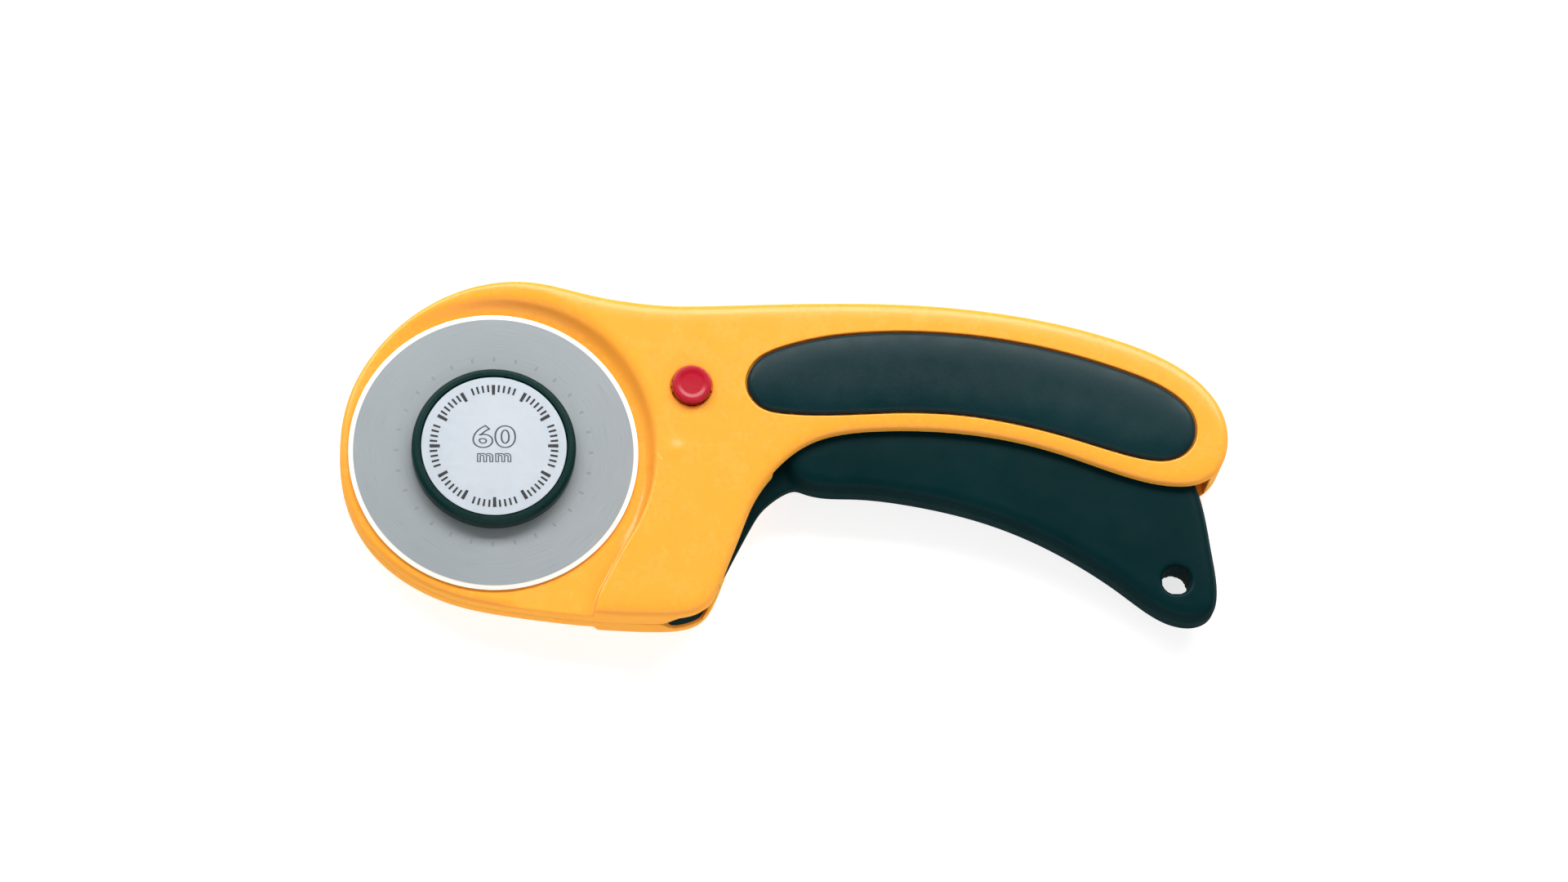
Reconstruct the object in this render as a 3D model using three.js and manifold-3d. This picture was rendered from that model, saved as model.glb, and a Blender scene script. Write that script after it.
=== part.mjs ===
// Rotary cutter, 60 mm, with a squeeze trigger.
//
// The cutter lies on its back: +Z points out of the blade side, +X runs from the
// blade to the tail of the handle, +Y points to the thumb side of the handle.
// Lengths are in millimetres. Outlines are written about the blade's centre and
// the whole assembly is then moved so that the origin is the centre of the base.

import * as THREE from 'three';
import { mergeVertices } from 'three/addons/utils/BufferGeometryUtils.js';
import Module from 'manifold-3d';

const wasm = await Module();
wasm.setup();

// ---------------------------------------------------------------- dimensions
const ORIGIN_X = 60.875;          // blade centre to the middle of the length
const ORIGIN_Y = 0.12;            // blade centre to the middle of the height

const BODY_T = 15.0;              // thickness of the handle and neck
const PART_LO = 7.35;             // back shell ends here
const PART_HI = 7.65;             // front shell starts here
const BODY_EDGE = 2.6;            // edge rounding of the handle
const GUARD_BACK = 3.0;           // back face of the thin guard
const GUARD_FRONT = 11.0;         // floor of the blade recess
const GUARD_EDGE = 1.1;           // edge rounding of the thin guard
const RECESS_LOW = [-0.3, -0.8, 32.4];    // recess round the blade at its floor: x, y, radius
const RECESS_HIGH = [-0.12, 1.42, 34.56]; // the same 6 mm higher up: its wall leans outwards
const RIM_Z = 12.2;               // top of the guard's rim at its far end

const CAV_LO = 2.45;              // handle hollow, back wall
const CAV_HI = 12.55;             // handle hollow, front wall
const PLATE_LO = 6.0;             // lever plate, back face
const PLATE_HI = 9.0;             // lever plate, front face
const SLOT_LO = 5.7;              // slot for the plate in the back shell
const SLOT_HI = 9.3;              // slot for the plate in the front shell

const PIVOT = [37.0, -29.5];      // trigger pivot
const PIN_R = 1.5;
const BORE_R = 1.8;               // pivot bores
const HEEL_R = 7.1;               // thick heel of the lever round the pivot
const HEEL_LO = 4.5;
const EYE_R = 6.4;                // lever eye round the blade axle
const TRAVEL = [-3.6, -4.5];      // what the blade axle moves when squeezed

const LOCK = [41.2, 13.3];        // cross-bolt lock
const LOCK_R = 4.07;
const LOCK_TOP = 16.3;
const LOCK_TRAVEL = 1.8;
const KEYHOLE = [[41.2, 13.3], [46.5, 12.75]];
const KEYHOLE_R = 4.5;

const HANG = [141.3, -28.1];      // hanging hole in the lever's tail
const HANG_R = 3.2;

const BLADE_R = 30.0;
const BLADE_BORE = 4.0;
const BLADE_LO = 11.3, BLADE_HI = 11.6;
const BEVEL_W = 1.15;             // ground width of the cutting edge
const NUT_R = 17.0;
const NUT_LO = 11.9, NUT_HI = 15.4;
const LABEL_R = 15.0;

const SCREWS = [[26.0, 24.0], [25.0, -32.0], [52.0, 25.6], [98.0, 27.7], [149.7, 5.0]];
const SCREW_HEAD_R = 2.1, SCREW_R = 1.2;

// outline of the two yellow shells
const BODY = [[-31.69, 0.01], [-31.47, 4.77], [-30.71, 9.25], [-29.48, 13.36], [-27.73, 17.22], [-25.36, 21.03], [-22.44, 24.67], [-19.07, 27.98], [-15.39, 30.83], [-11.45, 33.18], [-7.33, 35.00], [-3.08, 36.27], [1.22, 36.97], [5.51, 37.12], [9.76, 36.71], [15.04, 35.49], [22.19, 33.65], [29.57, 32.38], [35.72, 31.75], [42.82, 31.63], [54.90, 31.95], [67.13, 32.23], [77.78, 32.25], [87.43, 31.96], [96.47, 31.31], [105.10, 30.28], [113.33, 28.88], [121.16, 27.11], [128.60, 24.97], [135.11, 22.63], [140.18, 20.31], [144.19, 17.92], [147.36, 15.43], [149.83, 12.80], [151.62, 10.12], [152.79, 7.43], [153.39, 4.66], [153.44, 1.84], [152.95, -0.85], [151.97, -3.27], [150.61, -5.23], [149.01, -6.65], [147.13, -7.59], [144.69, -8.14], [141.52, -8.21], [137.46, -7.67], [132.36, -6.35], [124.96, -3.73], [116.79, -0.80], [109.99, 1.14], [103.35, 2.51], [96.30, 3.45], [88.94, 3.93], [81.45, 3.93], [75.05, 3.51], [70.43, 2.73], [67.02, 1.66], [63.98, 0.10], [61.00, -2.08], [58.04, -4.99], [55.43, -8.32], [53.44, -11.75], [51.09, -17.42], [47.78, -25.53], [45.53, -30.91], [44.17, -33.15], [42.77, -34.51], [40.99, -35.45], [38.43, -36.09], [34.46, -36.36], [26.43, -36.12], [17.51, -35.46], [8.65, -34.38], [-0.84, -32.87], [-6.37, -31.61], [-11.10, -29.99], [-15.36, -27.95], [-19.14, -25.55], [-22.42, -22.82], [-25.18, -19.81], [-27.43, -16.53], [-29.21, -12.94], [-30.53, -8.99], [-31.37, -4.67]];

// outline of the thick, hand-held part of the trigger lever
const GRIP = [[60.62, -1.17], [60.80, -2.64], [61.37, -4.13], [62.32, -5.51], [63.55, -6.62], [65.13, -7.50], [67.13, -8.12], [69.91, -8.47], [75.40, -8.62], [80.43, -9.03], [86.31, -9.92], [92.95, -11.28], [98.90, -12.84], [104.26, -14.61], [109.46, -16.72], [114.67, -19.24], [119.84, -22.16], [124.92, -25.43], [129.83, -29.03], [134.87, -33.03], [137.72, -34.94], [140.06, -36.07], [142.25, -36.69], [144.23, -36.88], [145.90, -36.67], [147.29, -36.14], [148.36, -35.35], [149.11, -34.33], [149.64, -32.88], [149.98, -30.55], [149.95, -27.41], [149.29, -21.59], [148.32, -14.07], [147.48, -9.76], [146.57, -6.77], [145.73, -5.13], [144.75, -4.03], [143.41, -3.12], [141.37, -2.33], [136.18, -0.89], [127.85, 1.79], [120.92, 3.88], [114.39, 5.51], [107.84, 6.79], [101.13, 7.76], [94.22, 8.43], [87.09, 8.78], [80.42, 8.82], [75.43, 8.52], [71.53, 7.94], [68.45, 7.10], [66.01, 6.05], [64.09, 4.81], [62.58, 3.39], [61.48, 1.84], [60.84, 0.29]];

// outline of the pocket for the rubber grip inlay
const INLAY = [[88.10, 25.57], [95.81, 25.17], [103.52, 24.31], [111.22, 22.97], [118.87, 21.17], [126.44, 18.92], [133.82, 16.25], [138.57, 14.11], [141.88, 12.07], [144.30, 9.99], [145.73, 8.13], [146.51, 6.27], [146.79, 4.18], [146.54, 2.11], [145.82, 0.34], [144.67, -1.08], [143.05, -2.21], [141.07, -2.93], [138.74, -3.16], [135.59, -2.80], [130.20, -1.43], [121.37, 1.45], [113.40, 3.80], [105.98, 5.52], [99.00, 6.67], [92.13, 7.28], [84.73, 7.43], [75.00, 7.06], [67.18, 6.89], [60.58, 7.24], [57.51, 7.75], [55.63, 8.55], [54.19, 9.73], [53.11, 11.30], [52.55, 13.00], [52.52, 14.78], [53.04, 16.66], [54.09, 18.44], [55.56, 19.88], [57.74, 21.14], [62.04, 22.69], [67.41, 24.04], [73.42, 24.97], [80.43, 25.49]];

// thin plate of the lever: neck web, arm to the blade axle and ear round the lock
const PLATE = [[66, -7.6], [62.7, -7.0], [60.2, -8.0], [57.4, -10.0], [55.2, -12.2], [53.2, -15.6], [51.2, -19.3], [49.1, -23.2], [47.0, -27.4], [45.1, -31.0], [43.8, -33.0], [42.5, -34.1], [40.8, -35.0], [38.4, -35.65], [36.4, -35.75], [35.2, -35.4], [34.2, -34.4], [32.4, -32.8], [31.5, -30.6], [31.5, -28.2], [30.0, -24.6], [24.0, -18.5], [14.0, -10.5], [4.2, -4.85], [0, 0], [-0.6, 6.37], [10.0, 7.4], [22.0, 10.0], [30.0, 13.6], [35.6, 16.4], [38.2, 18.6], [41.2, 19.5], [46.9, 19.0], [50.4, 17.8], [53.6, 15.2], [57.5, 9.5], [64.0, 4.4], [70, 4], [72, -6]];

// slot that the plate moves in, open along the neck's edge and the bottom corner
const SLOT = [[34.3, -42], [34.3, -35.1], [32.3, -33.8], [30.9, -31.8], [30.4, -29.4], [29.4, -26.8], [26.4, -24.0], [18.0, -18.6], [8.0, -14.6], [1.0, -12.8], [-3.6, -12.2], [-8.0, -10.8], [-11.0, -7.4], [-11.7, -3.2], [-10.2, 1.4], [-6.6, 5.6], [-1.0, 7.4], [8.0, 8.4], [18.0, 11.4], [25.0, 15.6], [29.4, 19.6], [34.5, 21.6], [47.0, 21.4], [54.0, 20.2], [58.4, 17.0], [63, 12], [66, 2], [66, -14], [58, -30], [50, -42]];

// hollow of the handle, open along its lower edge, closed at the tail
const HOLLOW = [[56.0, 19.0], [56.4, 24.6], [59.6, 28.2], [66.0, 29.7], [77.0, 29.8], [87.4, 29.5], [96.4, 28.8], [105.0, 27.8], [113.2, 26.4], [121.0, 24.6], [128.4, 22.5], [134.8, 20.2], [139.8, 17.9], [143.4, 15.6], [146.0, 13.0], [147.0, 10.6], [146.8, 8.0], [146.7, 2.4], [149.3, -1.0], [149.3, -16], [139, -16], [120, -9], [102, -3.5], [82, -2.5], [72, -3.5], [66.5, -6.5], [62.5, -9.5], [58.8, -6.6], [57.2, -3.6], [56.1, -0.6]];

// everything in front of the thin guard's floor, left of the step in the head
const GUARD_CUT = [[32.4, -3.0], [31.9, -9.0], [29.8, -15.6], [26.2, -22.0], [21.0, -31.6], [18.8, -42], [-45, -42], [-45, 3]];

// everything behind the thin guard
const GUARD_BACK_CUT = [[32.4, -8.0], [33.4, 0.0], [31.4, 12.0], [27.5, 20.0], [22.5, 27.0], [16.0, 42.0], [-45, 42], [-45, -42], [19.0, -42], [21.2, -31.8], [26.4, -22.0], [30.0, -15.6]];

// ------------------------------------------------------------------- helpers
function solid(geometry) {
  const g = geometry.clone();
  g.deleteAttribute('normal');
  g.deleteAttribute('uv');
  const m = mergeVertices(g, 1e-5);
  const tri = m.index.array;
  return new wasm.Manifold(new wasm.Mesh({
    numProp: 3,
    vertProperties: new Float32Array(m.attributes.position.array),
    triVerts: new Uint32Array(tri),
  }));
}

function shapeOf(points) {
  return new THREE.Shape(points.map(([x, y]) => new THREE.Vector2(x, y)));
}

// straight prism between two heights
function prism(points, z0, z1) {
  const g = new THREE.ExtrudeGeometry(shapeOf(points), { depth: z1 - z0, bevelEnabled: false });
  g.translate(0, 0, z0);
  return solid(g);
}

// prism with both rims rounded, the outline being its widest section
function rounded(points, z0, z1, edge, segments = 3) {
  const g = new THREE.ExtrudeGeometry(shapeOf(points), {
    depth: z1 - z0 - 2 * edge,
    bevelEnabled: true,
    bevelThickness: edge,
    bevelSize: edge,
    bevelOffset: -edge,
    bevelSegments: segments,
  });
  g.translate(0, 0, z0 + edge);
  return solid(g);
}

function cyl(x, y, z0, z1, r, seg = 32) {
  const g = new THREE.CylinderGeometry(r, r, z1 - z0, seg);
  g.rotateX(Math.PI / 2);
  g.translate(x, y, (z0 + z1) / 2);
  return solid(g);
}

function cone(x, y, z0, r0, z1, r1, seg = 32) {
  const g = new THREE.CylinderGeometry(r1, r0, z1 - z0, seg);
  g.rotateX(Math.PI / 2);
  g.translate(x, y, (z0 + z1) / 2);
  return solid(g);
}

function box(x0, y0, z0, x1, y1, z1) {
  const g = new THREE.BoxGeometry(x1 - x0, y1 - y0, z1 - z0);
  g.translate((x0 + x1) / 2, (y0 + y1) / 2, (z0 + z1) / 2);
  return solid(g);
}

// slot with round ends between two points
function capsule([ax, ay], [bx, by], r, z0, z1, seg = 12) {
  const d = Math.atan2(by - ay, bx - ax);
  const pts = [];
  for (let i = 0; i <= seg; i++) {
    const t = d - Math.PI / 2 + (Math.PI * i) / seg;
    pts.push([bx + r * Math.cos(t), by + r * Math.sin(t)]);
  }
  for (let i = 0; i <= seg; i++) {
    const t = d + Math.PI / 2 + (Math.PI * i) / seg;
    pts.push([ax + r * Math.cos(t), ay + r * Math.sin(t)]);
  }
  return prism(pts, z0, z1);
}

// turned part: profile of [radius, height] pairs
function turned(profile, x, y, seg) {
  const pts = profile.map(([r, z]) => new THREE.Vector2(r, z));
  const g = new THREE.LatheGeometry(pts, seg);
  g.rotateX(Math.PI / 2);
  g.translate(x, y, 0);
  const m = solid(g);
  return m;
}

// ring or washer: closed profile that ends where it starts
function ring(rIn, rOut, z0, z1, x, y, seg = 28) {
  return turned([[rIn, z0], [rOut, z0], [rOut, z1], [rIn, z1], [rIn, z0]], x, y, seg);
}

// offset an outline inwards along its normals (outline may turn either way)
function inset(points, d) {
  const n = points.length;
  let area = 0;
  for (let i = 0; i < n; i++) {
    const [x0, y0] = points[i], [x1, y1] = points[(i + 1) % n];
    area += x0 * y1 - x1 * y0;
  }
  const s = Math.sign(area);
  return points.map(([x, y], i) => {
    const [px, py] = points[(i + n - 1) % n], [qx, qy] = points[(i + 1) % n];
    const tx = qx - px, ty = qy - py, l = Math.hypot(tx, ty);
    return [x - (s * d * ty) / l, y + (s * d * tx) / l];
  });
}

// round wire along a curve
class PolyPath extends THREE.Curve {
  constructor(fn) { super(); this.fn = fn; }
  getPoint(t, target = new THREE.Vector3()) { return target.copy(this.fn(t)); }
}
function wire(curve, r, steps, sides = 8) {
  const c = new THREE.Shape();
  for (let i = 0; i < sides; i++) {
    const t = (2 * Math.PI * i) / sides;
    if (i === 0) c.moveTo(r * Math.cos(t), r * Math.sin(t));
    else c.lineTo(r * Math.cos(t), r * Math.sin(t));
  }
  c.closePath();
  return solid(new THREE.ExtrudeGeometry(c, { steps, bevelEnabled: false, extrudePath: curve }));
}

function geometryOf(m) {
  const mesh = m.simplify(0.002).getMesh();
  const n = mesh.numProp;
  const src = mesh.vertProperties;
  const pos = new Float32Array((src.length / n) * 3);
  for (let i = 0; i < src.length / n; i++) {
    for (let k = 0; k < 3; k++) pos[3 * i + k] = src[n * i + k];
  }
  const g = new THREE.BufferGeometry();
  g.setAttribute('position', new THREE.BufferAttribute(pos, 3));
  g.setIndex(new THREE.BufferAttribute(new Uint32Array(mesh.triVerts), 1));
  g.computeVertexNormals();
  return g;
}

// ----------------------------------------------------------------- materials
const yellow = () => new THREE.MeshStandardMaterial({ color: 0xfab339, roughness: 0.38, metalness: 0 });
const darkGreen = () => new THREE.MeshStandardMaterial({ color: 0x12302f, roughness: 0.5, metalness: 0 });
const rubber = () => new THREE.MeshStandardMaterial({ color: 0x1c3a3d, roughness: 0.75, metalness: 0 });
const red = () => new THREE.MeshStandardMaterial({ color: 0xcb3141, roughness: 0.35, metalness: 0 });
const steel = () => new THREE.MeshStandardMaterial({ color: 0xb0b6b9, roughness: 0.35, metalness: 1 });
const silver = () => new THREE.MeshStandardMaterial({ color: 0xd7dde6, roughness: 0.4, metalness: 0.6 });
const brass = () => new THREE.MeshStandardMaterial({ color: 0xb5964a, roughness: 0.4, metalness: 1 });

const cutter = new THREE.Group();
const frame = new THREE.Group();
frame.position.set(-ORIGIN_X, -ORIGIN_Y, 0);
cutter.add(frame);

function node(name, manifold, material) {
  const mesh = new THREE.Mesh(geometryOf(manifold), material);
  mesh.name = name;
  frame.add(mesh);
  return mesh;
}

// -------------------------------------------------------------- yellow shells
// Full-thickness blank of the body with the guard thinned on both faces.
const blank = rounded(BODY, 0, BODY_T, BODY_EDGE, 3);
const thin = rounded(BODY, GUARD_BACK, GUARD_FRONT, GUARD_EDGE, 2);

const upperHalf = box(-60, -60, PART_HI, 180, 60, 30);
const lowerHalf = box(-60, -60, -10, 180, 60, PART_LO);

// front: recess disc, open lower left of the guard, rim that falls away to the left
const recessGeo = new THREE.CylinderGeometry(RECESS_HIGH[2], RECESS_LOW[2], 6, 64);
recessGeo.rotateX(Math.PI / 2);
recessGeo.translate(0, 0, 3);
const leanX = (RECESS_HIGH[0] - RECESS_LOW[0]) / 6, leanY = (RECESS_HIGH[1] - RECESS_LOW[1]) / 6;
recessGeo.applyMatrix4(new THREE.Matrix4().set(
  1, 0, leanX, RECESS_LOW[0], 0, 1, leanY, RECESS_LOW[1], 0, 0, 1, GUARD_FRONT, 0, 0, 0, 1));
const recess = solid(recessGeo).add(prism(GUARD_CUT, GUARD_FRONT, 30));
const slopeGeo = new THREE.BoxGeometry(90, 120, 12);
slopeGeo.translate(-45, 0, 6);
slopeGeo.rotateY(-Math.atan2(BODY_T - RIM_Z, 38));
slopeGeo.translate(24, 0, BODY_T);
const slope = solid(slopeGeo);

let front = blank.subtract(recess).subtract(slope).add(thin).intersect(upperHalf);
front = front
  .subtract(prism(SLOT, 0, SLOT_HI))
  .subtract(prism(HOLLOW, 0, CAV_HI))
  .subtract(prism(INLAY, BODY_T - 1.4, 30))
  .subtract(capsule([0, 0], TRAVEL, 4.15, 0, 30))
  .subtract(cyl(LOCK[0], LOCK[1], 0, 30, 4.42, 28));

// spring chamber round the pivot: a round well and a way up for the two arms
front = front
  .subtract(cyl(PIVOT[0], PIVOT[1], 0, 12.8, 5.1, 28))
  .subtract(box(PIVOT[0] - 4.75, PIVOT[1], 0, PIVOT[0] + 9.2, PIVOT[1] + 11.6, 12.8));
// blind bore for the pin
front = front.subtract(cyl(PIVOT[0], PIVOT[1], 12, 14.0, BORE_R, 24));
// cross hole for the lock's detent
const detentBore = new THREE.CylinderGeometry(1.3, 1.3, 12.5, 20);
detentBore.translate(LOCK[0], LOCK[1] + 6.25, 11.4);
front = front.subtract(solid(detentBore));

// back
const backGuard = cyl(0, 0, -10, GUARD_BACK, 33.5, 64).add(prism(GUARD_BACK_CUT, -10, GUARD_BACK));
let back = blank.subtract(backGuard).add(thin).intersect(lowerHalf);
back = back
  .subtract(prism(SLOT, SLOT_LO, 30))
  .subtract(prism(HOLLOW, CAV_LO, 30))
  .subtract(prism(INLAY, -10, 1.4))
  .subtract(capsule([0, 0], TRAVEL, 7.7, -10, 30, 16))
  .subtract(cyl(LOCK[0], LOCK[1], -10, 30, 4.38, 28))
  .subtract(cone(LOCK[0], LOCK[1], -0.4, 7.0, 1.4, 4.4, 28))
  .subtract(cyl(PIVOT[0], PIVOT[1], HEEL_LO - 0.3, 30, HEEL_R + 0.4, 36))
  .subtract(cyl(PIVOT[0], PIVOT[1], 3.9, 30, 4.0, 24))
  .subtract(cyl(PIVOT[0], PIVOT[1], 0.9, 30, BORE_R, 24));

// screw bosses that stand in the handle hollow, then all the screw holes
for (const [x, y] of [SCREWS[3]]) {
  front = front.add(cyl(x, y, PART_HI, 13.0, 2.7, 20));
  back = back.add(cyl(x, y, 2.0, PART_LO, 2.7, 20));
}
for (const [x, y] of SCREWS) {
  front = front.subtract(cyl(x, y, 0, 11.7, 1.5, 14));
  back = back.subtract(cyl(x, y, -10, 30, 1.5, 14)).subtract(cyl(x, y, -10, 2.3, 2.5, 20));
}
node('front_shell', front, yellow());
node('back_shell', back, yellow());

// --------------------------------------------------------------- rubber inlays
const pad = inset(INLAY, 0.32);
node('front_grip_inlay', rounded(pad, BODY_T - 1.1, BODY_T + 0.45, 0.5, 3), rubber());
node('back_grip_inlay', prism(pad, 0.05, 1.1), rubber());

// --------------------------------------------------------------- trigger lever
let lever = rounded(GRIP, 2.75, 12.25, 2.2, 3)
  .add(prism(PLATE, PLATE_LO, PLATE_HI))
  .add(prism(PLATE, HEEL_LO, PLATE_LO + 0.5).intersect(cyl(PIVOT[0], PIVOT[1], HEEL_LO, PLATE_LO + 0.5, HEEL_R, 36)))
  .add(cyl(0, 0, PLATE_LO, PLATE_HI, EYE_R, 28))
  .add(cyl(PIVOT[0], PIVOT[1], 4.2, PLATE_HI, 3.5, 24))
  .add(cyl(PIVOT[0], PIVOT[1], 8, 12.4, 2.9, 24))
  .add(cyl(PIVOT[0] + 6.9, PIVOT[1] + 9.0, 8, 12.45, 1.1, 14));
lever = lever
  .subtract(cyl(PIVOT[0], PIVOT[1], 0, 30, BORE_R, 20))
  .subtract(cyl(0, 0, 0, 30, 3.2, 28))
  .subtract(capsule(KEYHOLE[0], KEYHOLE[1], KEYHOLE_R, 0, 30, 14))
  .subtract(cyl(HANG[0], HANG[1], 0, 30, HANG_R, 24))
  .subtract(cone(HANG[0], HANG[1], 11.45, HANG_R, 12.65, HANG_R + 1.2, 24))
  .subtract(cone(HANG[0], HANG[1], 2.35, HANG_R + 1.2, 3.55, HANG_R, 24));
node('trigger_lever', lever, darkGreen());

// ------------------------------------------------------------- pivot and spring
node('pivot_pin', turned([[0, 1.2], [1.2, 1.2], [PIN_R, 1.5], [PIN_R, 13.4], [1.2, 13.7], [0, 13.7]], PIVOT[0], PIVOT[1], 20), steel());

// torsion spring: two and a half turns, both arms pointing up the neck
const COIL_R = 4.0, WIRE_R = 0.45, COIL_Z0 = 9.85, COIL_Z1 = 11.95, ARM = 9.6;
const coilTurns = 2.5;
const coilLen = 2 * Math.PI * COIL_R * coilTurns;
const total = ARM + coilLen + ARM;
const springCurve = new PolyPath((t) => {
  let s = t * total;
  if (s < ARM) return new THREE.Vector3(PIVOT[0] - COIL_R, PIVOT[1] + ARM - s, COIL_Z0);
  s -= ARM;
  if (s <= coilLen) {
    const a = Math.PI + s / COIL_R;
    return new THREE.Vector3(PIVOT[0] + COIL_R * Math.cos(a), PIVOT[1] + COIL_R * Math.sin(a),
      COIL_Z0 + (COIL_Z1 - COIL_Z0) * (s / coilLen));
  }
  s -= coilLen;
  return new THREE.Vector3(PIVOT[0] + COIL_R, PIVOT[1] + s, COIL_Z1);
});
node('return_spring', wire(springCurve, WIRE_R, 60, 7), steel());

// -------------------------------------------------------------------- axle set
// bolt: thin head behind the lever, shank with two flats, thread end in the nut
let bolt = turned([[0, 3.3], [6.4, 3.3], [6.9, 3.7], [6.9, 5.0], [2.9, 5.0], [2.9, 14.2], [2.6, 14.5], [0, 14.5]], 0, 0, 28);
bolt = bolt
  .subtract(box(-10, 2.45, 5.0, 10, 10, 9.1))
  .subtract(box(-10, -10, 5.0, 10, -2.45, 9.1))
  .subtract(box(-3.6, -0.6, 0, 3.6, 0.6, 4.1));
node('axle_bolt', bolt, steel());
node('back_washer', ring(3.2, 6.6, 5.2, 5.75, 0, 0), steel());
node('axle_collar', ring(3.2, 3.7, 9.25, 11.85, 0, 0), brass());

node('blade', turned([
  [BLADE_BORE, BLADE_LO], [BLADE_R - BEVEL_W, BLADE_LO], [BLADE_R, (BLADE_LO + BLADE_HI) / 2 - 0.02],
  [BLADE_R, (BLADE_LO + BLADE_HI) / 2 + 0.02], [BLADE_R - BEVEL_W, BLADE_HI], [BLADE_BORE, BLADE_HI], [BLADE_BORE, BLADE_LO],
], 0, 0, 80), steel());

node('spring_washer', ring(4.3, 6.8, 11.75, 12.15, 0, 0), steel());

// nut: round knob with a washer pocket below, an insert bore and a label recess
node('hub_nut', turned([
  [5.1, 12.45], [7.2, 12.45], [7.2, 11.9], [NUT_R - 0.25, 11.9], [NUT_R, 12.15],
  [NUT_R, 14.5], [NUT_R - 0.25, 15.15], [NUT_R - 0.8, NUT_HI], [LABEL_R + 0.3, NUT_HI],
  [LABEL_R + 0.3, 14.75], [5.1, 14.75], [5.1, 12.45],
], 0, 0, 52), darkGreen());
node('nut_insert', ring(3.2, 4.8, 12.45, 14.6, 0, 0), brass());
node('nut_label', turned([[0, 14.95], [LABEL_R, 14.95], [LABEL_R, 15.2], [0, 15.2]], 0, 0, 52), silver());

// -------------------------------------------------------------- cross-bolt lock
node('lock_button', turned([
  [0, 2.9], [2.0, 2.9], [2.0, 9.9], [3.7, 9.9], [LOCK_R, 10.25],
  [LOCK_R, 11.0], [LOCK_R - 0.35, 11.25], [LOCK_R - 0.35, 11.55], [LOCK_R, 11.8],
  [LOCK_R, 12.8], [LOCK_R - 0.35, 13.05], [LOCK_R - 0.35, 13.35], [LOCK_R, 13.6],
  [LOCK_R, LOCK_TOP - 0.5], [LOCK_R - 0.5, LOCK_TOP], [2.9, LOCK_TOP], [1.9, LOCK_TOP - 0.25], [0, LOCK_TOP - 0.35],
], LOCK[0], LOCK[1], 24), red());
node('lock_rear_cap', turned([
  [0, 2.25], [3.6, 2.25], [4.0, 2.6], [4.0, 5.1], [2.35, 5.1], [2.35, 2.6], [0, 2.6],
], LOCK[0], LOCK[1], 24), darkGreen());
const ballGeo = new THREE.SphereGeometry(1.0, 12, 8);
ballGeo.translate(LOCK[0], LOCK[1] + LOCK_R + 1.35, 11.4);
node('lock_detent_ball', solid(ballGeo), steel());
const dY0 = LOCK[1] + LOCK_R + 2.75, dY1 = LOCK[1] + 12.1, dTurns = 5;
const detentCurve = new PolyPath((t) => {
  const a = 2 * Math.PI * dTurns * t;
  return new THREE.Vector3(LOCK[0] + 0.8 * Math.cos(a), dY0 + (dY1 - dY0) * t, 11.4 + 0.8 * Math.sin(a));
});
node('lock_detent_spring', wire(detentCurve, 0.18, 50, 5), steel());

// ---------------------------------------------------------------- shell screws
SCREWS.forEach(([x, y], i) => {
  let s = turned([
    [0, 0.5], [1.5, 0.5], [SCREW_HEAD_R, 1.0], [SCREW_HEAD_R, 2.0], [SCREW_R, 2.0], [SCREW_R, 10.6], [0.4, 11.4], [0, 11.4],
  ], x, y, 14);
  s = s.subtract(box(x - 1.3, y - 0.25, 0, x + 1.3, y + 0.25, 1.3)).subtract(box(x - 0.25, y - 1.3, 0, x + 0.25, y + 1.3, 1.3));
  node(`shell_screw_${i + 1}`, s, steel());
});

export default cutter;
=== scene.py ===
import bpy, bmesh, math
import numpy as np
from mathutils import Matrix, Vector


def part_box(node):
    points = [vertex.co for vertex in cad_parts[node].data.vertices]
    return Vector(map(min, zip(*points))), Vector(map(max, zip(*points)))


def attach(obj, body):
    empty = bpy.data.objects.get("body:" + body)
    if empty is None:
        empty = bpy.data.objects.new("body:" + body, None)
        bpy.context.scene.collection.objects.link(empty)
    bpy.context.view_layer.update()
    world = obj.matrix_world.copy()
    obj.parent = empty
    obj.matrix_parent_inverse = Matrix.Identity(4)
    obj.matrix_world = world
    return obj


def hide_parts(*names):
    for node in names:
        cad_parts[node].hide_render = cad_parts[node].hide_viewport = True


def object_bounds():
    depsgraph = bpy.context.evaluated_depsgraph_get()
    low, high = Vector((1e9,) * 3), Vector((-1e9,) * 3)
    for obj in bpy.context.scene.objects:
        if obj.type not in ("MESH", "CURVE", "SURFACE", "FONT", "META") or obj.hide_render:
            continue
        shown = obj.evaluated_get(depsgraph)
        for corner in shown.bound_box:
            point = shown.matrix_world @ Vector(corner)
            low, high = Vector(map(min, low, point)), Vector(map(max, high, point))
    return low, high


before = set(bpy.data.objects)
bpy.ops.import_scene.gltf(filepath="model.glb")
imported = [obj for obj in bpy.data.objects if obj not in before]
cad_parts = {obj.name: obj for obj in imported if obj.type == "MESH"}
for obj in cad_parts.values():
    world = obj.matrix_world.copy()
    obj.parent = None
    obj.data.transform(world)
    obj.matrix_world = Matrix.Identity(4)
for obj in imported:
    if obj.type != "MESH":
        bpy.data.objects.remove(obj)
CAD_LO, CAD_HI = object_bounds()
scene = bpy.context.scene

# ------------------------------------------------------------------ frame
# Outlines are in millimetres about the blade's centre, as in the CAD source; the row
# frame has its origin at the middle of the base. The blade's own box gives the offset.
_lo, _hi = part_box("blade")
OX = -(_lo.x + _hi.x) / 2 * 1000
OY = -(_lo.y + _hi.y) / 2 * 1000


def to_row(co):
    """(n, 3) millimetres about the blade -> metres in the row frame."""
    out = np.array(co, np.float64)
    out[:, 0] -= OX
    out[:, 1] -= OY
    return out * 0.001


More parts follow.
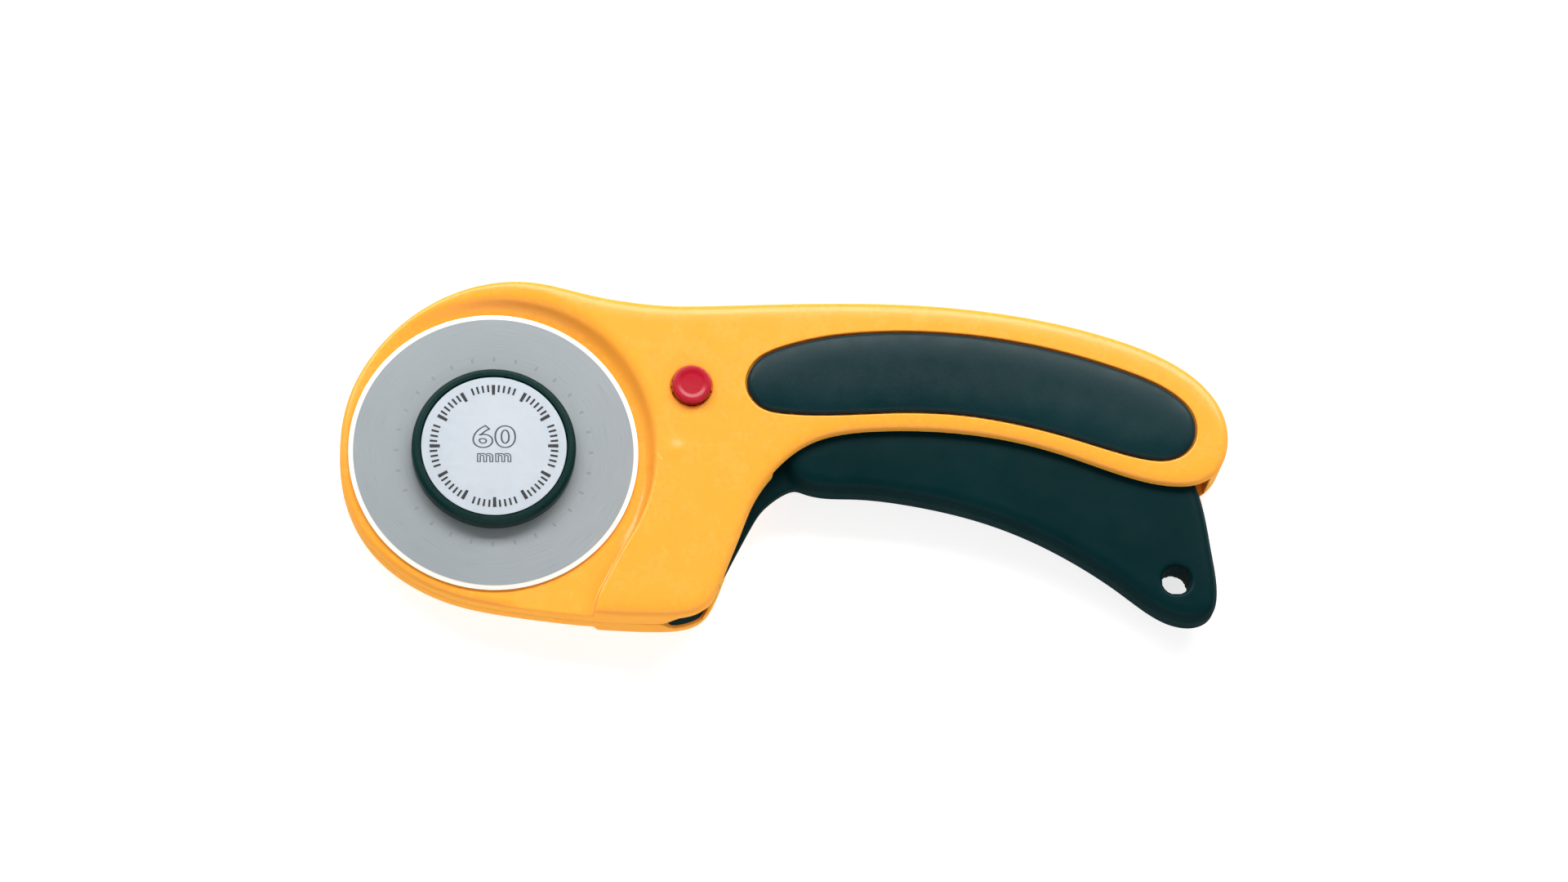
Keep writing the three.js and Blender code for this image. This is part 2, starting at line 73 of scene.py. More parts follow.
BODY = [[-31.69, 0.01], [-31.47, 4.77], [-30.71, 9.25], [-29.48, 13.36], [-27.73, 17.22], [-25.36, 21.03], [-22.44, 24.67], [-19.07, 27.98], [-15.39, 30.83], [-11.45, 33.18], [-7.33, 35.00], [-3.08, 36.27], [1.22, 36.97], [5.51, 37.12], [9.76, 36.71], [15.04, 35.49], [22.19, 33.65], [29.57, 32.38], [35.72, 31.75], [42.82, 31.63], [54.90, 31.95], [67.13, 32.23], [77.78, 32.25], [87.43, 31.96], [96.47, 31.31], [105.10, 30.28], [113.33, 28.88], [121.16, 27.11], [128.60, 24.97], [135.11, 22.63], [140.18, 20.31], [144.19, 17.92], [147.36, 15.43], [149.83, 12.80], [151.62, 10.12], [152.79, 7.43], [153.39, 4.66], [153.44, 1.84], [152.95, -0.85], [151.97, -3.27], [150.61, -5.23], [149.01, -6.65], [147.13, -7.59], [144.69, -8.14], [141.52, -8.21], [137.46, -7.67], [132.36, -6.35], [124.96, -3.73], [116.79, -0.80], [109.99, 1.14], [103.35, 2.51], [96.30, 3.45], [88.94, 3.93], [81.45, 3.93], [75.05, 3.51], [70.43, 2.73], [67.02, 1.66], [63.98, 0.10], [61.00, -2.08], [58.04, -4.99], [55.43, -8.32], [53.44, -11.75], [51.09, -17.42], [47.78, -25.53], [45.53, -30.91], [44.17, -33.15], [42.77, -34.51], [40.99, -35.45], [38.43, -36.09], [34.46, -36.36], [26.43, -36.12], [17.51, -35.46], [8.65, -34.38], [-0.84, -32.87], [-6.37, -31.61], [-11.10, -29.99], [-15.36, -27.95], [-19.14, -25.55], [-22.42, -22.82], [-25.18, -19.81], [-27.43, -16.53], [-29.21, -12.94], [-30.53, -8.99], [-31.37, -4.67]]
GRIP = [[60.62, -1.17], [60.80, -2.64], [61.37, -4.13], [62.32, -5.51], [63.55, -6.62], [65.13, -7.50], [67.13, -8.12], [69.91, -8.47], [75.40, -8.62], [80.43, -9.03], [86.31, -9.92], [92.95, -11.28], [98.90, -12.84], [104.26, -14.61], [109.46, -16.72], [114.67, -19.24], [119.84, -22.16], [124.92, -25.43], [129.83, -29.03], [134.87, -33.03], [137.72, -34.94], [140.06, -36.07], [142.25, -36.69], [144.23, -36.88], [145.90, -36.67], [147.29, -36.14], [148.36, -35.35], [149.11, -34.33], [149.64, -32.88], [149.98, -30.55], [149.95, -27.41], [149.29, -21.59], [148.32, -14.07], [147.48, -9.76], [146.57, -6.77], [145.73, -5.13], [144.75, -4.03], [143.41, -3.12], [141.37, -2.33], [136.18, -0.89], [127.85, 1.79], [120.92, 3.88], [114.39, 5.51], [107.84, 6.79], [101.13, 7.76], [94.22, 8.43], [87.09, 8.78], [80.42, 8.82], [75.43, 8.52], [71.53, 7.94], [68.45, 7.10], [66.01, 6.05], [64.09, 4.81], [62.58, 3.39], [61.48, 1.84], [60.84, 0.29]]
INLAY = [[88.10, 25.57], [95.81, 25.17], [103.52, 24.31], [111.22, 22.97], [118.87, 21.17], [126.44, 18.92], [133.82, 16.25], [138.57, 14.11], [141.88, 12.07], [144.30, 9.99], [145.73, 8.13], [146.51, 6.27], [146.79, 4.18], [146.54, 2.11], [145.82, 0.34], [144.67, -1.08], [143.05, -2.21], [141.07, -2.93], [138.74, -3.16], [135.59, -2.80], [130.20, -1.43], [121.37, 1.45], [113.40, 3.80], [105.98, 5.52], [99.00, 6.67], [92.13, 7.28], [84.73, 7.43], [75.00, 7.06], [67.18, 6.89], [60.58, 7.24], [57.51, 7.75], [55.63, 8.55], [54.19, 9.73], [53.11, 11.30], [52.55, 13.00], [52.52, 14.78], [53.04, 16.66], [54.09, 18.44], [55.56, 19.88], [57.74, 21.14], [62.04, 22.69], [67.41, 24.04], [73.42, 24.97], [80.43, 25.49]]
PLATE = [[66, -7.6], [62.7, -7.0], [60.2, -8.0], [57.4, -10.0], [55.2, -12.2], [53.2, -15.6], [51.2, -19.3], [49.1, -23.2], [47.0, -27.4], [45.1, -31.0], [43.8, -33.0], [42.5, -34.1], [40.8, -35.0], [38.4, -35.65], [36.4, -35.75], [35.2, -35.4], [34.2, -34.4], [32.4, -32.8], [31.5, -30.6], [31.5, -28.2], [30.0, -24.6], [24.0, -18.5], [14.0, -10.5], [4.2, -4.85], [0, 0], [-0.6, 6.37], [10.0, 7.4], [22.0, 10.0], [30.0, 13.6], [35.6, 16.4], [38.2, 18.6], [41.2, 19.5], [46.9, 19.0], [50.4, 17.8], [53.6, 15.2], [57.5, 9.5], [64.0, 4.4], [70, 4], [72, -6]]
SLOT = [[32.4, -42], [32.4, -35.6], [31.6, -34.0], [30.9, -31.8], [30.4, -29.4], [29.4, -26.8], [26.4, -24.0], [18.0, -18.6], [8.0, -14.6], [1.0, -12.8], [-3.6, -12.2], [-8.0, -10.8], [-11.0, -7.4], [-11.7, -3.2], [-10.2, 1.4], [-6.6, 5.6], [-1.0, 7.4], [8.0, 8.4], [18.0, 11.4], [25.0, 15.6], [29.4, 19.6], [34.5, 21.6], [47.0, 21.4], [54.0, 20.2], [58.4, 17.0], [63, 12], [66, 2], [66, -14], [58, -30], [50, -42]]
HOLLOW = [[56.0, 19.0], [56.4, 24.6], [59.6, 28.2], [66.0, 29.7], [77.0, 29.8], [87.4, 29.5], [96.4, 28.8], [105.0, 27.8], [113.2, 26.4], [121.0, 24.6], [128.4, 22.5], [134.8, 20.2], [139.8, 17.9], [143.4, 15.6], [146.0, 13.0], [147.0, 10.6], [146.8, 8.0], [146.7, 2.4], [149.3, -1.0], [149.3, -16], [139, -16], [120, -9], [102, -3.5], [82, -2.5], [72, -3.5], [66.5, -6.5], [62.5, -9.5], [58.8, -6.6], [57.2, -3.6], [56.1, -0.6]]
GUARD_CUT = [[32.4, -3.0], [31.9, -9.0], [29.8, -15.6], [26.2, -22.0], [21.0, -31.6], [18.8, -42], [-45, -42], [-45, 3]]
GUARD_BACK_CUT = [[32.4, -8.0], [33.4, 0.0], [31.4, 12.0], [27.5, 20.0], [22.5, 27.0], [16.0, 42.0], [-45, 42], [-45, -42], [19.0, -42], [21.2, -31.8], [26.4, -22.0], [30.0, -15.6]]

PIVOT = (37.0, -29.5)
HEEL_R = 7.1
TRAVEL = (-3.6, -4.5)
LOCK = (41.2, 13.3)
KEYHOLE = ((41.2, 13.3), (46.5, 12.75))
HANG = (141.3, -28.1)
SCREWS = [(26.0, 24.0), (25.0, -32.0), (52.0, 25.6), (98.0, 27.7), (149.7, 5.0)]
BODY_T, BODY_EDGE = 15.0, 2.6
GUARD_FRONT, GUARD_BACK = 11.0, 3.0
PART = 7.5                    # parting plane of the two shells


# ------------------------------------------------------------------ outlines
def spline(points, step=0.12):
    """Closed cubic spline through the points, resampled finely."""
    p = np.array(points, float)
    n = len(p)
    seg = np.linalg.norm(np.roll(p, -1, 0) - p, axis=1)
    # periodic cubic spline in chord length: solve for the second derivatives
    h, hm = seg, np.roll(seg, 1)
    A = np.zeros((n, n))
    i = np.arange(n)
    A[i, i] = 2 * (h + hm)
    A[i, (i + 1) % n] = h
    A[i, (i - 1) % n] = hm
    d = (np.roll(p, -1, 0) - p) / h[:, None]
    M = np.linalg.solve(A, 6 * (d - np.roll(d, 1, 0)))
    out = []
    for k in range(n):
        m = max(1, int(math.ceil(seg[k] / step)))
        t = (np.arange(m) / m * h[k])[:, None]
        a, b, m0, m1 = p[k], p[(k + 1) % n], M[k], M[(k + 1) % n]
        c = (b - a) / h[k] - h[k] * (2 * m0 + m1) / 6
        out.append(a + c * t + m0 / 2 * t ** 2 + (m1 - m0) / (6 * h[k]) * t ** 3)
    return np.concatenate(out)


def soften(points, rounds=3):
    """Corner cutting of a closed polygon that keeps its straight runs."""
    p = np.array(points, float)
    for _ in range(rounds):
        q = np.roll(p, -1, 0)
        e = np.linalg.norm(q - p, axis=1)[:, None]
        w = np.minimum(0.25, 1.2 / np.maximum(e, 1e-6))
        p = np.stack([p + (q - p) * w, q - (q - p) * w], 1).reshape(-1, 2)
    return p


GX0, GY0, GH = -38.0, -43.0, 0.15
GNX, GNY = 1310, 580


class Field:
    """Signed distance to a closed outline (negative inside) on a fine grid, in mm."""

    def __init__(self, poly):
        a = np.asarray(poly, np.float64)
        b = np.roll(a, -1, 0)
        ok = np.linalg.norm(b - a, axis=1) > 1e-9
        a, b = a[ok], b[ok]
        gx = GX0 + GH * np.arange(GNX)
        gy = GY0 + GH * np.arange(GNY)
        mid = (a + b) / 2
        half = np.linalg.norm(b - a, axis=1) / 2
        out = np.empty((GNX, GNY), np.float32)
        T = 24
        for i in range(0, GNX, T):
            for j in range(0, GNY, T):
                xs, ys = gx[i:i + T], gy[j:j + T]
                cx, cy = (xs[0] + xs[-1]) / 2, (ys[0] + ys[-1]) / 2
                rad = math.hypot(xs[-1] - xs[0], ys[-1] - ys[0]) / 2
                dm = np.hypot(mid[:, 0] - cx, mid[:, 1] - cy)
                near = dm - half <= (dm + half).min() + 2 * rad + 1e-6
                p, q = a[near], b[near]
                X, Y = np.meshgrid(xs, ys, indexing="ij")
                px = X.ravel()[:, None] - p[None, :, 0]
                py = Y.ravel()[:, None] - p[None, :, 1]
                ex, ey = (q - p)[:, 0], (q - p)[:, 1]
                t = np.clip((px * ex + py * ey) / (ex * ex + ey * ey), 0, 1)
                dd = (px - t * ex) ** 2 + (py - t * ey) ** 2
                out[i:i + T, j:j + T] = np.sqrt(dd.min(1)).reshape(X.shape)
        inside = np.zeros((GNX, GNY), bool)
        for j, y in enumerate(gy):
            c = (a[:, 1] <= y) != (b[:, 1] <= y)
            if c.any():
                x = np.sort(a[c, 0] + (y - a[c, 1]) / (b[c, 1] - a[c, 1]) * (b[c, 0] - a[c, 0]))
                inside[:, j] = (np.searchsorted(x, gx) % 2) == 1
        self.g = np.where(inside, -out, out)

    def __call__(self, x, y):
        u = np.clip((x - GX0) / GH, 0, GNX - 1.001)
        v = np.clip((y - GY0) / GH, 0, GNY - 1.001)
        i, j = u.astype(np.int32), v.astype(np.int32)
        u, v = (u - i).astype(np.float32), (v - j).astype(np.float32)
        g = self.g
        return ((g[i, j] * (1 - u) + g[i + 1, j] * u) * (1 - v)
                + (g[i, j + 1] * (1 - u) + g[i + 1, j + 1] * u) * v)


F = {
    "body": Field(spline(BODY)),
    "grip": Field(spline(GRIP)),
    "inlay": Field(spline(INLAY)),
    "plate": Field(soften(PLATE)),
    "slot": Field(soften(SLOT)),
    "hollow": Field(soften(HOLLOW)),
    "gcut": Field(soften(GUARD_CUT)),
    "gback": Field(soften(GUARD_BACK_CUT)),
}


# ------------------------------------------------------------ distance algebra
def smax(a, b, k):
    h = np.maximum(k - np.abs(a - b), 0) / k
    return np.maximum(a, b) + h * h * (k * 0.25)


def smin(a, b, k):
    return -smax(-a, -b, k)


def sstep(a, b, x):
    t = np.clip((x - a) / (b - a), 0, 1)
    return t * t * (3 - 2 * t)


def slab(d, z, z0, z1, r):
    """Outline d extruded from z0 to z1 with both rims rounded by r."""
    qx = d + r
    qz = np.abs(z - (z0 + z1) / 2) - ((z1 - z0) / 2 - r)
    return np.minimum(np.maximum(qx, qz), 0) + np.sqrt(np.maximum(qx, 0) ** 2 + np.maximum(qz, 0) ** 2) - r


def disc(x, y, cx, cy, r):
    return np.sqrt((x - cx) ** 2 + (y - cy) ** 2) - r


def capsule(x, y, a, b, r):
    ex, ey = b[0] - a[0], b[1] - a[1]
    t = np.clip(((x - a[0]) * ex + (y - a[1]) * ey) / (ex * ex + ey * ey), 0, 1)
    return np.sqrt((x - a[0] - t * ex) ** 2 + (y - a[1] - t * ey) ** 2) - r


def rect(x, y, x0, y0, x1, y1):
    return np.maximum(np.abs(x - (x0 + x1) / 2) - (x1 - x0) / 2, np.abs(y - (y0 + y1) / 2) - (y1 - y0) / 2)


class Q:
    """The outline distances at a set of points; z broadcasts over them."""

    def __init__(self, x, y, z, names):
        self.x, self.y, self.z = x, y, z
        for n in names:
            setattr(self, n, F[n](x, y))


def slot_void(q):
    """The slot that the lever's plate swings in, pinched to a point at its left lip."""
    lip = sstep(-1.7, -1.0, q.body) * (q.y < -20)
    pinch = (1 - sstep(33.2, 37.6, q.x)) * lip
    tall = sstep(34.8, 38.5, q.x) * (1 - sstep(42.6, 45.2, q.x)) * (1 - sstep(-32.5, -29.5, q.y))
    up = 1.8 - 1.85 * pinch + 1.9 * tall
    down = 1.8 - 1.85 * pinch
    return np.maximum(q.slot, np.maximum(q.z - PART - up, PART - down - q.z))


def heel_pocket(q):
    """Round pocket in the back shell for the lever's heel, also pinched at the left lip."""
    lip = sstep(-1.7, -1.0, q.body) * (q.y < -20)
    floor = 4.2 + 3.4 * (1 - sstep(33.2, 37.6, q.x)) * lip
    return np.maximum(disc(q.x, q.y, *PIVOT, HEEL_R + 0.4), floor - q.z)


def part_groove(q, sign):
    """Short open stretch of the parting line that runs out of the slot's tip."""
    w = 0.26 * sstep(28.6, 31.5, q.x) * (1 - sstep(34.5, 36.5, q.x)) * (q.y < -20)
    return np.maximum(np.abs(q.z - PART) - w, -0.55 - q.body)


def front_shell(q):
    x, y, z = q.x, q.y, q.z
    f = slab(q.body, z, 0.0, BODY_T, BODY_EDGE)
    crown = 0.55 * (1 - sstep(0.0, 4.6, -q.body))
    f = smax(f, z - (BODY_T - crown), 0.9)
    # recess round the blade and the open lower left of the guard
    up = z - GUARD_FRONT
    rc = 0.9 * disc(x - 0.03 * up, y - 0.37 * up, -0.3, -0.8, 32.4 + 0.36 * up)
    ring = disc(x, y, 0, 0, 32.2)
    far = sstep(0.4, 2.2, ring) * (q.gcut < 3)       # 1 along the straight step, 0 along the ring
    cut = smax(smin(rc, q.gcut, 1.2), GUARD_FRONT - z, 1.8 - 1.1 * far)
    f = smax(f, -cut, 1.7 - 1.2 * far)
    # rim that falls away to the left
    w = 24.0 - x
    top = BODY_T - 0.0737 * smax(w, 0 * w, 8.0)
    f = smax(f, (z - top) * 0.997, 1.3)
    # shallow boss beside the head
    f = f - 0.27 * np.exp(-((x - 37.8) ** 2 + (y + 0.4) ** 2) / 3.2) * sstep(13.5, 15.0, z)
    f = smax(f, -slot_void(q), 0.3)
    f = smax(f, -part_groove(q, 1), 0.15)
    f = smax(f, -np.maximum(q.hollow, z - 12.55), 0.35)
    f = smax(f, -np.maximum(q.inlay, 13.6 - z), 0.32)
    f = np.maximum(f, -np.maximum(capsule(x, y, (0, 0), TRAVEL, 4.45), 0 * z))
    f = smax(f, -np.maximum(disc(x, y, *LOCK, 4.3), 0 * z), 0.5)
    f = np.maximum(f, -np.maximum(disc(x, y, *PIVOT, 5.1), z - 12.8))
    f = np.maximum(f, -np.maximum(rect(x, y, PIVOT[0] - 4.75, PIVOT[1], PIVOT[0] + 9.2, PIVOT[1] + 11.6), z - 12.8))
    f = np.maximum(f, -np.maximum(disc(x, y, *PIVOT, 1.8), z - 14.0))
    f = np.maximum(f, -np.maximum(np.sqrt((x - LOCK[0]) ** 2 + (z - 11.4) ** 2) - 1.3,
                                  np.maximum(LOCK[1] - y, y - LOCK[1] - 12.5)))
    b = SCREWS[3]
    f = np.minimum(f, np.maximum(disc(x, y, *b, 2.7), np.maximum(PART - z, z - 13.0)))
    for s in SCREWS:
        f = np.maximum(f, -np.maximum(disc(x, y, *s, 1.5), z - 11.7))
    return smax(f, (PART + 0.03) - z, 0.22)


def back_shell(q):
    x, y, z = q.x, q.y, q.z
    f = slab(q.body, z, 0.0, BODY_T, BODY_EDGE)
    crown = 0.3 * (1 - sstep(0.0, 6.0, -q.body))
    f = smax(f, crown - z, 0.9)
    rc = disc(x, y, 0, 0, 33.5)
    cut = smax(smin(rc, q.gback, 1.5), z - GUARD_BACK, 1.5)
    f = smax(f, -cut, 1.6)
    f = smax(f, -slot_void(q), 0.3)
    f = smax(f, -heel_pocket(q), 0.3)
    f = smax(f, -part_groove(q, -1), 0.15)
    f = smax(f, -np.maximum(q.hollow, 2.45 - z), 0.35)
    f = smax(f, -np.maximum(q.inlay, z - 1.4), 0.32)
    f = smax(f, -np.maximum(capsule(x, y, (0, 0), TRAVEL, 7.7), 0 * z), 0.9)
    f = smax(f, -np.maximum(disc(x, y, *LOCK, 4.3), 0 * z), 0.3)
    cone = (disc(x, y, *LOCK, 0) - (7.0 - (z + 0.4) * 2.6 / 1.8)) * 0.569
    f = smax(f, -np.maximum(cone, z - 1.4), 0.6)
    f = np.maximum(f, -np.maximum(disc(x, y, *PIVOT, 4.0), 3.9 - z))
    f = np.maximum(f, -np.maximum(disc(x, y, *PIVOT, 1.8), 0.9 - z))
    b = SCREWS[3]
    f = np.minimum(f, np.maximum(disc(x, y, *b, 2.7), np.maximum(2.0 - z, z - PART)))
    for s in SCREWS:
        f = np.maximum(f, -np.maximum(disc(x, y, *s, 1.5), 0 * z))
        f = smax(f, -np.maximum(disc(x, y, *s, 2.5), z - 2.3), 0.4)
    return smax(f, z - (PART - 0.03), 0.22)


def trigger_lever(q):
    x, y, z = q.x, q.y, q.z
    f = slab(q.grip, z, 2.75, 12.25, 3.3)
    crown = 0.32 * (1 - sstep(0.0, 9.0, -q.grip))
    f = smax(f, np.abs(z - 7.5) - (4.75 - crown), 1.2)
    corner = (1 - sstep(-30.5, -26.5, y)) * sstep(30.0, 33.0, x) * (x < 50)
    edge = q.plate + 0.45 * (1 - sstep(-27.5, -24.5, y)) * sstep(-34.0, -31.5, y) * (x > 40)
    edge = edge + 0.38 * corner * np.maximum(z - 4.6, 0)
    edge = edge * (1 - 0.07 * corner)
    p = smax(edge, np.abs(z - 7.5) - 1.5, 0.5)
    f = smin(f, p, 1.1)
    heel = np.maximum(edge, disc(x, y, *PIVOT, HEEL_R))
    f = np.minimum(f, smax(heel, np.maximum(4.5 - z, z - 6.5), 0.5))
    f = np.minimum(f, np.maximum(disc(x, y, 0, 0, 6.4), np.abs(z - 7.5) - 1.5))
    f = np.minimum(f, np.maximum(disc(x, y, *PIVOT, 3.5), np.maximum(4.2 - z, z - 9.0)))
    f = np.minimum(f, np.maximum(disc(x, y, *PIVOT, 2.9), np.maximum(8.0 - z, z - 12.4)))
    f = np.minimum(f, np.maximum(disc(x, y, PIVOT[0] + 6.9, PIVOT[1] + 9.0, 1.1), np.maximum(8.0 - z, z - 12.45)))
    f = np.maximum(f, -np.maximum(disc(x, y, *PIVOT, 1.95), 0 * z))
    f = np.maximum(f, -np.maximum(disc(x, y, 0, 0, 3.2), 0 * z))
    f = np.maximum(f, -np.maximum(capsule(x, y, *KEYHOLE, 4.5), 0 * z))
    f = smax(f, -np.maximum(disc(x, y, *HANG, 3.15), 0 * z), 0.9)
    return f


def front_inlay(q):
    d = q.inlay + 0.3
    t = np.clip(-d / 7.5, 0, 1)
    top = 14.75 + 0.95 * np.sqrt(np.maximum(1 - (1 - t) ** 2.4, 0))
    f = smax(d, (q.z - top) * 0.93, 0.9)
    return np.maximum(f, 13.9 - q.z)


def back_inlay(q):
    d = q.inlay + 0.3
    f = smax(d, 0.12 - q.z, 0.7)
    return np.maximum(f, q.z - 1.1)


# ------------------------------------------------------------- surface meshing
EDGES = [(0, 1), (2, 3), (4, 5), (6, 7), (0, 2), (1, 3), (4, 6), (5, 7), (0, 4), (1, 5), (2, 6), (3, 7)]
CORN = np.array([[i & 1, (i >> 1) & 1, (i >> 2) & 1] for i in range(8)])


def mesh_sdf(fn, names, lo, hi, h):
    """Mesh the zero surface of fn: one vertex per crossed cell, moved onto the surface."""
    n = [int(math.ceil((hi[k] - lo[k]) / h)) + 1 for k in range(3)]
    xs, ys, zs = [(lo[k] + h * np.arange(n[k])).astype(np.float32) for k in range(3)]
    X, Y = np.meshgrid(xs, ys, indexing="ij")
    q = Q(X[:, :, None], Y[:, :, None], zs[None, None, :], names)
    f = np.broadcast_to(fn(q), n).astype(np.float32)
    ins = f < 0
    c = np.zeros([k - 1 for k in n], np.uint8)
    for dx, dy, dz in CORN:
        c += ins[dx:n[0] - 1 + dx, dy:n[1] - 1 + dy, dz:n[2] - 1 + dz]
    act = (c > 0) & (c < 8)
    I, J, K = np.nonzero(act)
    ids = np.full(act.shape, -1, np.int32)
    ids[I, J, K] = np.arange(len(I), dtype=np.int32)
    vals = np.stack([f[I + dx, J + dy, K + dz] for dx, dy, dz in CORN], 1)
    acc = np.zeros((len(I), 3), np.float32)
    cnt = np.zeros(len(I), np.float32)
    for a, b in EDGES:
        fa, fb = vals[:, a], vals[:, b]
        m = (fa < 0) != (fb < 0)
        t = np.where(m, fa / np.where(m, fa - fb, 1), 0)
        acc += m[:, None] * (CORN[a] + t[:, None] * (CORN[b] - CORN[a]))
        cnt += m
    P = np.stack([I, J, K], 1) + acc / cnt[:, None]
    P = (np.array(lo) + P * h).astype(np.float32)

    faces = []
    # x edges
    m = ins[:-1, 1:-1, 1:-1] != ins[1:, 1:-1, 1:-1]
    i, j, k = np.nonzero(m); j += 1; k += 1
    quad = np.stack([ids[i, j - 1, k - 1], ids[i, j, k - 1], ids[i, j, k], ids[i, j - 1, k]], 1)
    faces.append(np.where(ins[i, j, k][:, None], quad, quad[:, ::-1]))
    # y edges
    m = ins[1:-1, :-1, 1:-1] != ins[1:-1, 1:, 1:-1]
    i, j, k = np.nonzero(m); i += 1; k += 1
    quad = np.stack([ids[i - 1, j, k - 1], ids[i - 1, j, k], ids[i, j, k], ids[i, j, k - 1]], 1)
    faces.append(np.where(ins[i, j, k][:, None], quad, quad[:, ::-1]))
    # z edges
    m = ins[1:-1, 1:-1, :-1] != ins[1:-1, 1:-1, 1:]
    i, j, k = np.nonzero(m); i += 1; j += 1
    quad = np.stack([ids[i - 1, j - 1, k], ids[i, j - 1, k], ids[i, j, k], ids[i - 1, j, k]], 1)
    faces.append(np.where(ins[i, j, k][:, None], quad, quad[:, ::-1]))
    quads = np.concatenate(faces)
    for _ in range(3):
        v, g = value_grad(fn, names, P, h * 0.3)
        step = v[:, None] * g / np.maximum((g * g).sum(1), 0.2)[:, None]
        L = np.linalg.norm(step, axis=1)
        step *= np.minimum(1, 0.45 * h / np.maximum(L, 1e-9))[:, None]
        P = P - step
    return P, quads


def value_grad(fn, names, P, e):
    def at(p):
        return np.asarray(fn(Q(p[:, 0], p[:, 1], p[:, 2], names)), np.float32)
    g = np.empty_like(P)
    for k in range(3):
        o = np.zeros(3, np.float32); o[k] = e
        g[:, k] = (at(P + o) - at(P - o)) / (2 * e)
    return at(P), g


def new_object(name, verts_mm, faces, row=True):
    me = bpy.data.meshes.new(name)
    co = to_row(verts_mm) if row else np.asarray(verts_mm)
    faces = np.asarray(faces)
    k = faces.shape[1]
    me.vertices.add(len(co))
    me.vertices.foreach_set("co", co.astype(np.float32).ravel())
    me.loops.add(faces.size)
    me.loops.foreach_set("vertex_index", faces.astype(np.int32).ravel())
    me.polygons.add(len(faces))
    me.polygons.foreach_set("loop_start", np.arange(0, faces.size, k, dtype=np.int32))
    me.update(calc_edges=True)
    me.validate()
    ob = bpy.data.objects.new(name, me)
    scene.collection.objects.link(ob)
    return ob


def smooth(ob, normals=None):
    me = ob.data
    me.polygons.foreach_set("use_smooth", np.ones(len(me.polygons), bool))
    if normals is not None:
        me.normals_split_custom_set_from_vertices(normals)
    me.update()


def sdf_object(name, fn, names, lo, hi, h, budget):
    P, quads = mesh_sdf(fn, names, lo, hi, h)
    ob = new_object(name, P, quads)
    tris = 2 * len(quads)
    if tris > budget:
        md = ob.modifiers.new("reduce", "DECIMATE")
        md.ratio = budget / tris
        dg = bpy.context.evaluated_depsgraph_get()
        me = bpy.data.meshes.new_from_object(ob.evaluated_get(dg))
        ob.modifiers.clear()
        old = ob.data
        ob.data = me
        bpy.data.meshes.remove(old)
        me.name = name
    me = ob.data
    co = np.empty(len(me.vertices) * 3, np.float32)
    me.vertices.foreach_get("co", co)
    co = np.clip(co.reshape(-1, 3), BOX_LO, BOX_HI)
    me.vertices.foreach_set("co", co.ravel())
    co = co * 1000
    co[:, 0] += OX
    co[:, 1] += OY
    _, g = value_grad(fn, names, co, 0.08)
    g /= np.maximum(np.linalg.norm(g, axis=1), 1e-6)[:, None]
    smooth(ob, g.astype(np.float64))
    print(name, "faces", len(me.polygons), "of", tris)
    return ob


BOX_LO = np.array(CAD_LO, np.float32) + np.float32(2e-6)
BOX_HI = np.array(CAD_HI, np.float32) - np.float32(2e-6)
H = 0.3
print("fields ready")
pieces = {}
pieces["front_shell_skin"] = sdf_object("front_shell_skin", front_shell, ["body", "slot", "hollow", "gcut", "inlay"], (-33, -38, 7.0), (155, 38.5, 15.8), H, 190000)
pieces["back_shell_skin"] = sdf_object("back_shell_skin", back_shell, ["body", "slot", "hollow", "gback", "inlay"], (-33, -38, -0.6), (155, 38.5, 8.0), H, 170000)
pieces["lever_skin"] = sdf_object("lever_skin", trigger_lever, ["grip", "plate"], (-8, -38.2, 2.2), (151.5, 20.8, 13.1), H, 150000)
pieces["front_inlay_skin"] = sdf_object("front_inlay_skin", front_inlay, ["inlay"], (51.5, -4.3, 13.5), (148, 26.8, 16.0), H, 90000)
pieces["back_inlay_skin"] = sdf_object("back_inlay_skin", back_inlay, ["inlay"], (51.5, -4.3, -0.3), (148, 26.8, 1.6), H, 60000)
for n, b, r in (("front_shell_skin", "body", "front_shell"), ("back_shell_skin", "body", "back_shell"),
                ("lever_skin", "lever", "trigger_lever"), ("front_inlay_skin", "body", "front_grip_inlay"),
                ("back_inlay_skin", "body", "back_grip_inlay")):
    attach(pieces[n], b)
    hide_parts(r)


# ------------------------------------------------------------------ turned parts
def rounded_profile(pts, radii, arc=6):
    """Polyline of (r, z) with its corners rounded. Returns points and outward normals."""
    pts = [np.array(p, float) for p in pts]
    P, N = [], []
    n = len(pts)

    def nrm(a, b):
        d = (b - a) / np.linalg.norm(b - a)
        return np.array([d[1], -d[0]])

    for i in range(n):
        if i == 0:
            P.append(pts[0]); N.append(nrm(pts[0], pts[1])); continue
        if i == n - 1:
            P.append(pts[-1]); N.append(nrm(pts[-2], pts[-1])); continue
        a, b, c = pts[i - 1], pts[i], pts[i + 1]
        r = radii[i] if isinstance(radii, (list, tuple)) else radii
        u, v = (a - b) / np.linalg.norm(a - b), (c - b) / np.linalg.norm(c - b)
        ang = math.acos(max(-1, min(1, float(u @ v))))
        if ang > math.pi - 1e-3:
            P.append(b); N.append(nrm(a, b)); continue
        t = r / math.tan(ang / 2)
        t = min(t, 0.45 * np.linalg.norm(a - b), 0.45 * np.linalg.norm(c - b))
        n0, n1 = nrm(a, b), nrm(b, c)
        p0, p1 = b + u * t, b + v * t
        for s in range(arc + 1):
            w = s / arc
            q = (1 - w) ** 2 * p0 + 2 * w * (1 - w) * b + w * w * p1
            m = n0 * (1 - w) + n1 * w
            P.append(q); N.append(m / np.linalg.norm(m))
    return np.array(P), np.array(N)


